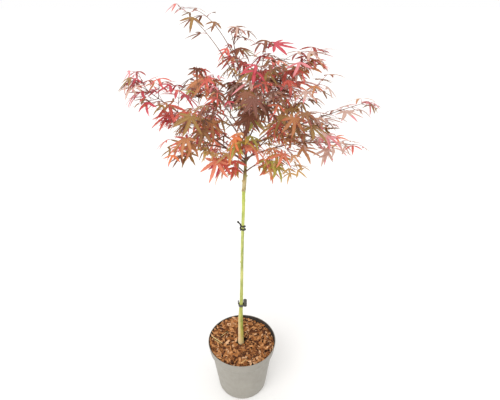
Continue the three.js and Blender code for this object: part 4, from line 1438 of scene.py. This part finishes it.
def add_pot():
    mesh = with_drain_holes(new_mesh("uncut_pot", *lathe(pot_outline())))
    mesh.name = "nursery_pot"
    mesh.materials.clear()
    mesh.materials.append(pot_outside())
    mesh.materials.append(pot_inside())
    # Faces inside the pot take the second finish: the darker inside colour, with its painted shade
    for polygon in mesh.polygons:
        x, y, height = np.array(polygon.center) / METRES
        facing_in = x * polygon.normal[0] + y * polygon.normal[1] < 0 or polygon.normal[2] > FACING_UP
        polygon.material_index = int(facing_in and POT_FLOOR - 1 < height < POT_HEIGHT - 1)
        polygon.use_smooth = True
    place(new_object("nursery_pot", mesh), ["pot"])


def pot_outside():
    """Taupe-grey moulded plastic, faintly clouded, streaked and scuffed."""
    nodes = Nodes("pot_outside", 0.5, 0.4)
    clouds = nodes.ramp(nodes.noise(60, 4), [(0.3, 0x918D84), (0.5, 0x959188), (0.7, 0x9A968D)])
    streaks = nodes.ramp(nodes.noise(9, 3, (1, 1, 0.25)), [(0.35, 0xFAF9F8), (0.65, 0xFFFFFF)])
    streaked = nodes.mix(1.0, clouds, streaks, "MULTIPLY")
    scuffs = nodes.span(nodes.noise(5, 6, (1, 1, 3)), 0.68, 0.76, 0, 0.2)
    pale = nodes.ramp(nodes.noise(50), [(0, 0xB5B3AD), (1, 0xABA9A3)])
    nodes.paint(nodes.mix(scuffs, streaked, pale))
    nodes.link(nodes.span(nodes.noise(20, 4), 0.3, 0.7, 0.42, 0.6), nodes.shader.inputs["Roughness"])
    return nodes.bumped(nodes.noise(1.2, 4), 0.12, 0.5)


def pot_inside():
    """The same plastic seen inside: its own darker grey, made darker still by painted shade."""
    inner_tone_and_shade = [(0.3, 0x2A2420), (0.55, 0x3C3733), (0.75, 0x4E4945)]
    return mottled("pot_inside", 0.7, 0.3, (16, 5), inner_tone_and_shade, (2, 4), 0.2, 0.6)


# Mulch
MULCH_HEIGHT = 216
BED_DEPTH = 6
BED_FALL = (5, 4)
BED_FALL_OVER = 120
BED_RISE = 6
BED_RISE_WAY = (-0.75, 0.9)
BED_RISE_OVER = 128
BED_BUMPS = [(2, 55, 70), (1.1, 17, 71)]
HOLES = [((13, 14), 9, 17), ((-38, 20), 4.5, 8)]
MULCH_WALL_GAP = 0.8
WALL_ROUNDING = (1.2, 1.6)
BED_RINGS = 60
BED_CENTRE = 0.01
BED_SEGMENTS = 144
SOIL_BUMPS = (0.9, 6, 72)
APRON = 8


def wall_radius(height):
    """The pot's inner wall at a height near the mulch, less a gap."""
    heights = (POT_HEIGHT - COLLAR_HEIGHT + COLLAR_LIP, POT_HEIGHT)
    inner = POT_RIM_RADIUS - POT_WALL
    radii = (inner - COLLAR_FLARE - WALL_ROUNDING[0], inner - WALL_ROUNDING[1])
    return np.interp(height, heights, radii) - MULCH_WALL_GAP


def bumps(x, y, height, width, seed):
    return height * ripple(np.stack([x, y, 0 * x], -1), width, seed)


def bed_height(x, y):
    """Higher at the left and the back, lower at the right, with holes beside the stem."""
    fall = (BED_FALL[0] * x + BED_FALL[1] * y * (y > 0) * (x > 0)) / BED_FALL_OVER
    rise = BED_RISE * np.clip((BED_RISE_WAY[0] * x + BED_RISE_WAY[1] * y) / BED_RISE_OVER, 0, 1)
    height = MULCH_HEIGHT - fall + rise + sum(bumps(x, y, *row) for row in BED_BUMPS)
    for (hole_x, hole_y), radius, depth in HOLES:
        height = height - depth * hump(np.hypot(x - hole_x, y - hole_y), radius)
    return height


def add_soil():
    """The soil between the chips: a disc that follows the bed's height, with an apron down the wall."""
    reach = np.linspace(BED_CENTRE, 1, BED_RINGS)[:, None] * wall_radius(MULCH_HEIGHT - BED_DEPTH)
    top = polar(reach, circle(BED_SEGMENTS), -BED_DEPTH)
    x, y, _ = top.transpose(2, 0, 1)
    top[..., 2] += bed_height(x, y) + bumps(x, y, *SOIL_BUMPS)
    faces = ring_faces(BED_RINGS + 1, BED_SEGMENTS) + [tuple(range(BED_SEGMENTS))[::-1]]
    sheets = Sheets()
    sheets.add(np.concatenate([top, top[-1:] - UP * APRON]), [face[::-1] for face in faces])
    soil = mottled("soil", 0.95, 0.2, (4, 5), [(0.35, 0x1A100B), (0.6, 0x3A2418)], (2, 5), 1.0)
    sheets.piece("soil_bed", [soil], "mulch", ["mulch"])


# Bark chips: each layer's count, the chips' lengths, how far they tilt and how high they lie
CHIP_LAYERS = [(1500, (8, 20), 0.6, -2.0), (520, (15, 33), 0.5, 0.4)]
CHIP_SEED = 33
GOLDEN_TURN = math.pi * (3 - math.sqrt(5))
TURN_JITTER = 0.3
SPOT_JITTER = 2.2
HEIGHT_JITTER = 1.5
STEM_CLEARANCE = 12
STEM_SHARE = 0.3
HOLE_SHARE = 0.15
CHIP_CORNERS = 7
CHIP_WIDTH = (0.28, 0.62)
CHIP_THICKNESS = (1.6, 4.2)
CORNER_JITTER = (-0.3, 0.3)
CORNER_REACH = (0.7, 1.05)
TOP_SIZE = (0.62, 0.92)
TOP_HEIGHT = (0.3, 0.6)
EDGE_HEIGHT = (-0.25, 0.15)
FOOT_SIZE = 0.8
FOOT_DEPTH = (0.35, 0.6)
CHIP_BOW = (-0.12, 0.12)
CHIP_WALL_GAP = 0.4
CHIP_TONES = [0x8C562C, 0xB27440, 0x57311B, 0xCF925C, 0x704023, 0xE4B488]
CHIP_SHARES = [0.2, 0.22, 0.18, 0.18, 0.11, 0.11]
CHIP_DARKENING = 0.82


def add_chip(sheets, random, spot, length, tilt, tone):
    """An uneven flake of bark: a pinched ring of corners, a smaller top and bottom, tilted and turned."""

    def corners(limits):
        return random.uniform(*limits, CHIP_CORNERS)

    width = length * random.uniform(*CHIP_WIDTH)
    thick = random.uniform(*CHIP_THICKNESS)
    turns = (np.arange(CHIP_CORNERS) + corners(CORNER_JITTER)) * 2 * math.pi / CHIP_CORNERS
    out = corners(CORNER_REACH)
    rim = np.stack([out * np.cos(turns) * length / 2, out * np.sin(turns) * width / 2], -1)
    top = np.column_stack([rim * corners(TOP_SIZE)[:, None], thick * corners(TOP_HEIGHT)])
    edge = np.column_stack([rim, thick * corners(EDGE_HEIGHT)])
    foot = np.column_stack([rim * FOOT_SIZE, -thick * corners(FOOT_DEPTH)])
    flake = np.concatenate([top, edge, foot])
    flake[:, 2] += random.uniform(*CHIP_BOW) * flake[:, 0] ** 2 / length
    yaw = random.uniform(0, 2 * math.pi)
    pitch, roll = random.uniform(-tilt, tilt, 2)
    points = flake @ np.array(Euler((roll, pitch, yaw)).to_matrix()).T + spot
    reach = np.hypot(points[:, 0], points[:, 1])
    pulled = np.minimum(1, (wall_radius(points[:, 2]) - CHIP_WALL_GAP) / np.maximum(reach, 1))
    points[:, :2] *= pulled[:, None]
    sheets.add(points, [face[::-1] for face in closed_faces(3, CHIP_CORNERS)], tone)


def has_room(x, y, length):
    """Chips keep clear of the stem's foot and of the holes."""
    if math.hypot(x - STEM_POINTS[0][0], y) < STEM_CLEARANCE + length * STEM_SHARE:
        return False
    return all(math.dist((x, y), at) >= radius + length * HOLE_SHARE for at, radius, _ in HOLES)


def add_chips():
    """Chips are spread evenly by the golden turn, a layer of large ones above a layer of small ones."""
    sheets = Sheets()
    random = np.random.default_rng(CHIP_SEED)
    for count, lengths, tilt, lift in CHIP_LAYERS:
        for i in range(count):
            reach = wall_radius(MULCH_HEIGHT) * math.sqrt((i + 0.5) / count)
            turn = i * GOLDEN_TURN + random.uniform(0, TURN_JITTER)
            x, y = reach * np.array([math.cos(turn), math.sin(turn)]) + random.normal(0, SPOT_JITTER, 2)
            length = random.uniform(*lengths)
            if has_room(x, y, length):
                height = bed_height(x, y) + lift + random.uniform(-HEIGHT_JITTER, HEIGHT_JITTER)
                tone = int(random.choice(len(CHIP_TONES), p=CHIP_SHARES))
                add_chip(sheets, random, np.array([x, y, height]), length, tilt, tone)
    bark = [chip_bark(i, tone) for i, tone in enumerate(CHIP_TONES)]
    sheets.piece("bark_chips", bark, "mulch", smooth=False)


def chip_bark(i, tone):
    """Torn bark: one tone with darker blotches."""
    darker = sum(int((tone >> shift & 255) * CHIP_DARKENING) << shift for shift in (16, 8, 0))
    return mottled(f"chip_{i}", 0.85, 0.25, (4.5, 4), [(0.36, darker), (0.62, tone)], (1.3, 5), 0.5)


# Straw: each stalk's two ends and its radius
STRAWS = [
    ((-120, 18), (-73, -21), 1.3),
    ((-108, 1), (-80, -22), 0.8),
    ((-86, 13), (-55, 41), 0.8),
    ((-5, -106), (21, -86), 0.8),
]
STRAW_SEED = 8
STRAW_LIFT = 4
STRAW_WAVER = 0.6
STRAW_TAPER = np.array([0.5, 1, 1, 0.95, 0.9, 0.7, 0.3])
STRAW_SIDES = 6


def add_straws():
    sheets = Sheets()
    random = np.random.default_rng(STRAW_SEED)
    for start, end, radius in STRAWS:
        line = np.linspace(start, end, len(STRAW_TAPER))
        level = bed_height(*line.T).max() + STRAW_LIFT
        heights = level + random.uniform(-STRAW_WAVER, STRAW_WAVER, len(line))
        add_tube(sheets, np.column_stack([line, heights]), radius * STRAW_TAPER, STRAW_SIDES)
    sheets.piece("straw", [plain("straw", 0.6, 0.3, 0xE3CB8E, (3, 3), 0.2, 0.5)], "mulch")


# Upper tie
UPPER_TIE_HEIGHT = 738
UPPER_TIE_RADIUS = (7.6, 8.8)
UPPER_TIE_PITCH = 11.5
UPPER_TIE_TURNS = 2
UPPER_TIE_START = 160
UPPER_TIE_STEPS = 72
TUBE_RADIUS = 2.4
TUBE_SIDES = 12
FREE_END = np.array([-6.0, -2.0, 8.0])
FREE_END_STEPS = 6
KNOB_LENGTH = 8
KNOB_SEAT = 2
KNOB_STATIONS = KNOB_LENGTH * np.array([0, 0.08, 0.3, 0.6, 0.85, 0.96, 1])
KNOB_RADII = 3.6 * np.array([0.5, 0.66, 0.74, 0.9, 1.0, 0.85, 0.45])
KNOB_SIDES = 16


def rubber(name, dark, pale):
    return mottled(name, 0.55, 0.4, (5, 4), [(0.35, dark), (0.65, pale)], (1.2, 4), 0.2, 0.6)


def add_upper_tie():
    """Soft tube wound twice round the stem, with a knob on its free end."""
    share = np.linspace(0, 1, UPPER_TIE_STEPS + 1)
    turn = math.radians(UPPER_TIE_START) + share * UPPER_TIE_TURNS * 2 * math.pi
    radius = np.linspace(*UPPER_TIE_RADIUS, UPPER_TIE_STEPS + 1)
    height = UPPER_TIE_PITCH * UPPER_TIE_TURNS * (0.5 - share)
    winding = stem_point_at(UPPER_TIE_HEIGHT) + polar(radius, turn, height)
    tip = winding[0] + FREE_END
    free = smooth_line(np.array([tip, winding[0] + FREE_END / 2, *winding[:2]]), FREE_END_STEPS)
    sheets = Sheets()
    add_tube(sheets, np.concatenate([free[: -FREE_END_STEPS - 1], winding]), TUBE_RADIUS, TUBE_SIDES)
    way = unit(FREE_END)
    add_tube(sheets, tip + way * (KNOB_STATIONS - KNOB_SEAT)[:, None], KNOB_RADII, KNOB_SIDES)
    sheets.piece("upper_tie_tube", [rubber("tube_rubber", 0x1C1B1A, 0x353431)], "tie", ["upper_tie"])


# Lower tie: its blocks are given by width, depth, height and the radius of their upright corners
LOWER_TIE_HEIGHT = 409
BAND_WIDTH = 9
BAND_THICKNESS = 2.6
BAND_SLACK = 0.6
BAND_DROP = 4
BAND_CORNER = 0.9
BAND_CORNER_STEPS = 4
BAND_SEGMENTS = 48
BUCKLE = (13, 15, 27.5, 4.5)
BUCKLE_BACK = 5
BUCKLE_DROP = 14
BAND_END = (4, 4, 17, 1.2)
BAND_END_DROP = 1
BLOCK_CORNER_STEPS = 6
BLOCK_EDGE = 2.4
EDGE_MIDDLE = 0.3
LEAST_CORNER = 0.4


def rounded_loop(width, depth, corner, steps):
    """A rectangle with round corners, as points turning about its middle."""
    loop = []
    for sign_x, sign_y, first in ((1, 1, 0), (-1, 1, 90), (-1, -1, 180), (1, -1, 270)):
        for angle in np.radians(np.linspace(first, first + 90, steps)):
            x = sign_x * (width / 2 - corner) + corner * math.cos(angle)
            y = sign_y * (depth / 2 - corner) + corner * math.sin(angle)
            loop.append((x, y))
    return np.array(loop)


def add_block(sheets, foot, width, depth, height, corner):
    """A block with round upright corners and softened ends."""
    edge = min(corner, BLOCK_EDGE)
    softened = [(0, edge), (edge * EDGE_MIDDLE, edge * EDGE_MIDDLE), (edge, 0)]
    rings = []
    for level, inset in softened + [(height - rise, inset) for rise, inset in reversed(softened)]:
        sides = width - 2 * inset, depth - 2 * inset
        loop = rounded_loop(*sides, max(corner - inset, LEAST_CORNER), BLOCK_CORNER_STEPS)
        rings.append(np.column_stack([loop, np.full(len(loop), level)]) + foot)
    sheets.add(np.concatenate(rings), closed_faces(len(rings), len(rings[0])))


def add_lower_tie():
    """A flat band with a buckle block on its right and its short end on its left."""
    middle = stem_point_at(LOWER_TIE_HEIGHT)
    inner = stem_radius_at(LOWER_TIE_HEIGHT - BAND_WIDTH) + SEAT_GAP + BAND_SLACK
    outer = inner + BAND_THICKNESS
    section = rounded_loop(BAND_THICKNESS, BAND_WIDTH, BAND_CORNER, BAND_CORNER_STEPS)
    across, up = np.append(section, section[:1], axis=0).T[..., None]
    rings = polar((inner + outer) / 2 + across, circle(BAND_SEGMENTS), up - BAND_DROP)
    sheets = Sheets()
    sheets.add(rings + middle, ring_faces(len(rings), BAND_SEGMENTS))
    add_block(sheets, middle + [inner + BUCKLE[0] / 2 + SEAT_GAP, BUCKLE_BACK, -BUCKLE_DROP], *BUCKLE)
    add_block(sheets, middle - [outer, 0, BAND_END_DROP], *BAND_END)
    sheets.piece("lower_tie_band", [rubber("band_rubber", 0x3A3935, 0x5A5851)], "tie", ["lower_tie"])


# Stage and light
FLOOR_SIZE = 60000
FLOOR_DROP = 0.0005
SUN_STRENGTH = 1.5
SUN_SPREAD = 50
SUN_TURN = (50, 0, -32)
SKY_STRENGTH = 1.0
WHITE = (1, 1, 1, 1)


def add_stage():
    corners = [(x * FLOOR_SIZE / 2, y * FLOOR_SIZE / 2, 0) for x, y in ((-1, -1), (1, -1), (1, 1), (-1, 1))]
    mesh = new_mesh("floor", corners, [(0, 1, 2, 3)])
    mesh.materials.append(Nodes("floor", 0.9, 0.1, 0xF2F1EF).material)
    floor = new_object("floor", mesh)
    floor.location.z = -FLOOR_DROP


def add_light():
    sun = bpy.data.lights.new("sun", "SUN")
    sun.energy = SUN_STRENGTH
    sun.angle = math.radians(SUN_SPREAD)
    new_object("sun", sun).rotation_euler = np.radians(SUN_TURN)
    world = bpy.data.worlds.new("sky")
    world.use_nodes = True
    background = world.node_tree.nodes["Background"]
    background.inputs["Color"].default_value = WHITE
    background.inputs["Strength"].default_value = SKY_STRENGTH
    bpy.context.scene.world = world
    bpy.context.scene.view_settings.view_transform = "Standard"


# The whole plant
masses = [grow_mass(shoot) for shoot in SHOOTS]
for mass in masses:
    grow_finer(mass)
add_pot()
add_soil()
add_chips()
add_straws()
add_stem()
add_limbs(masses)
add_leaves(masses)
add_upper_tie()
add_lower_tie()
add_stage()
add_light()
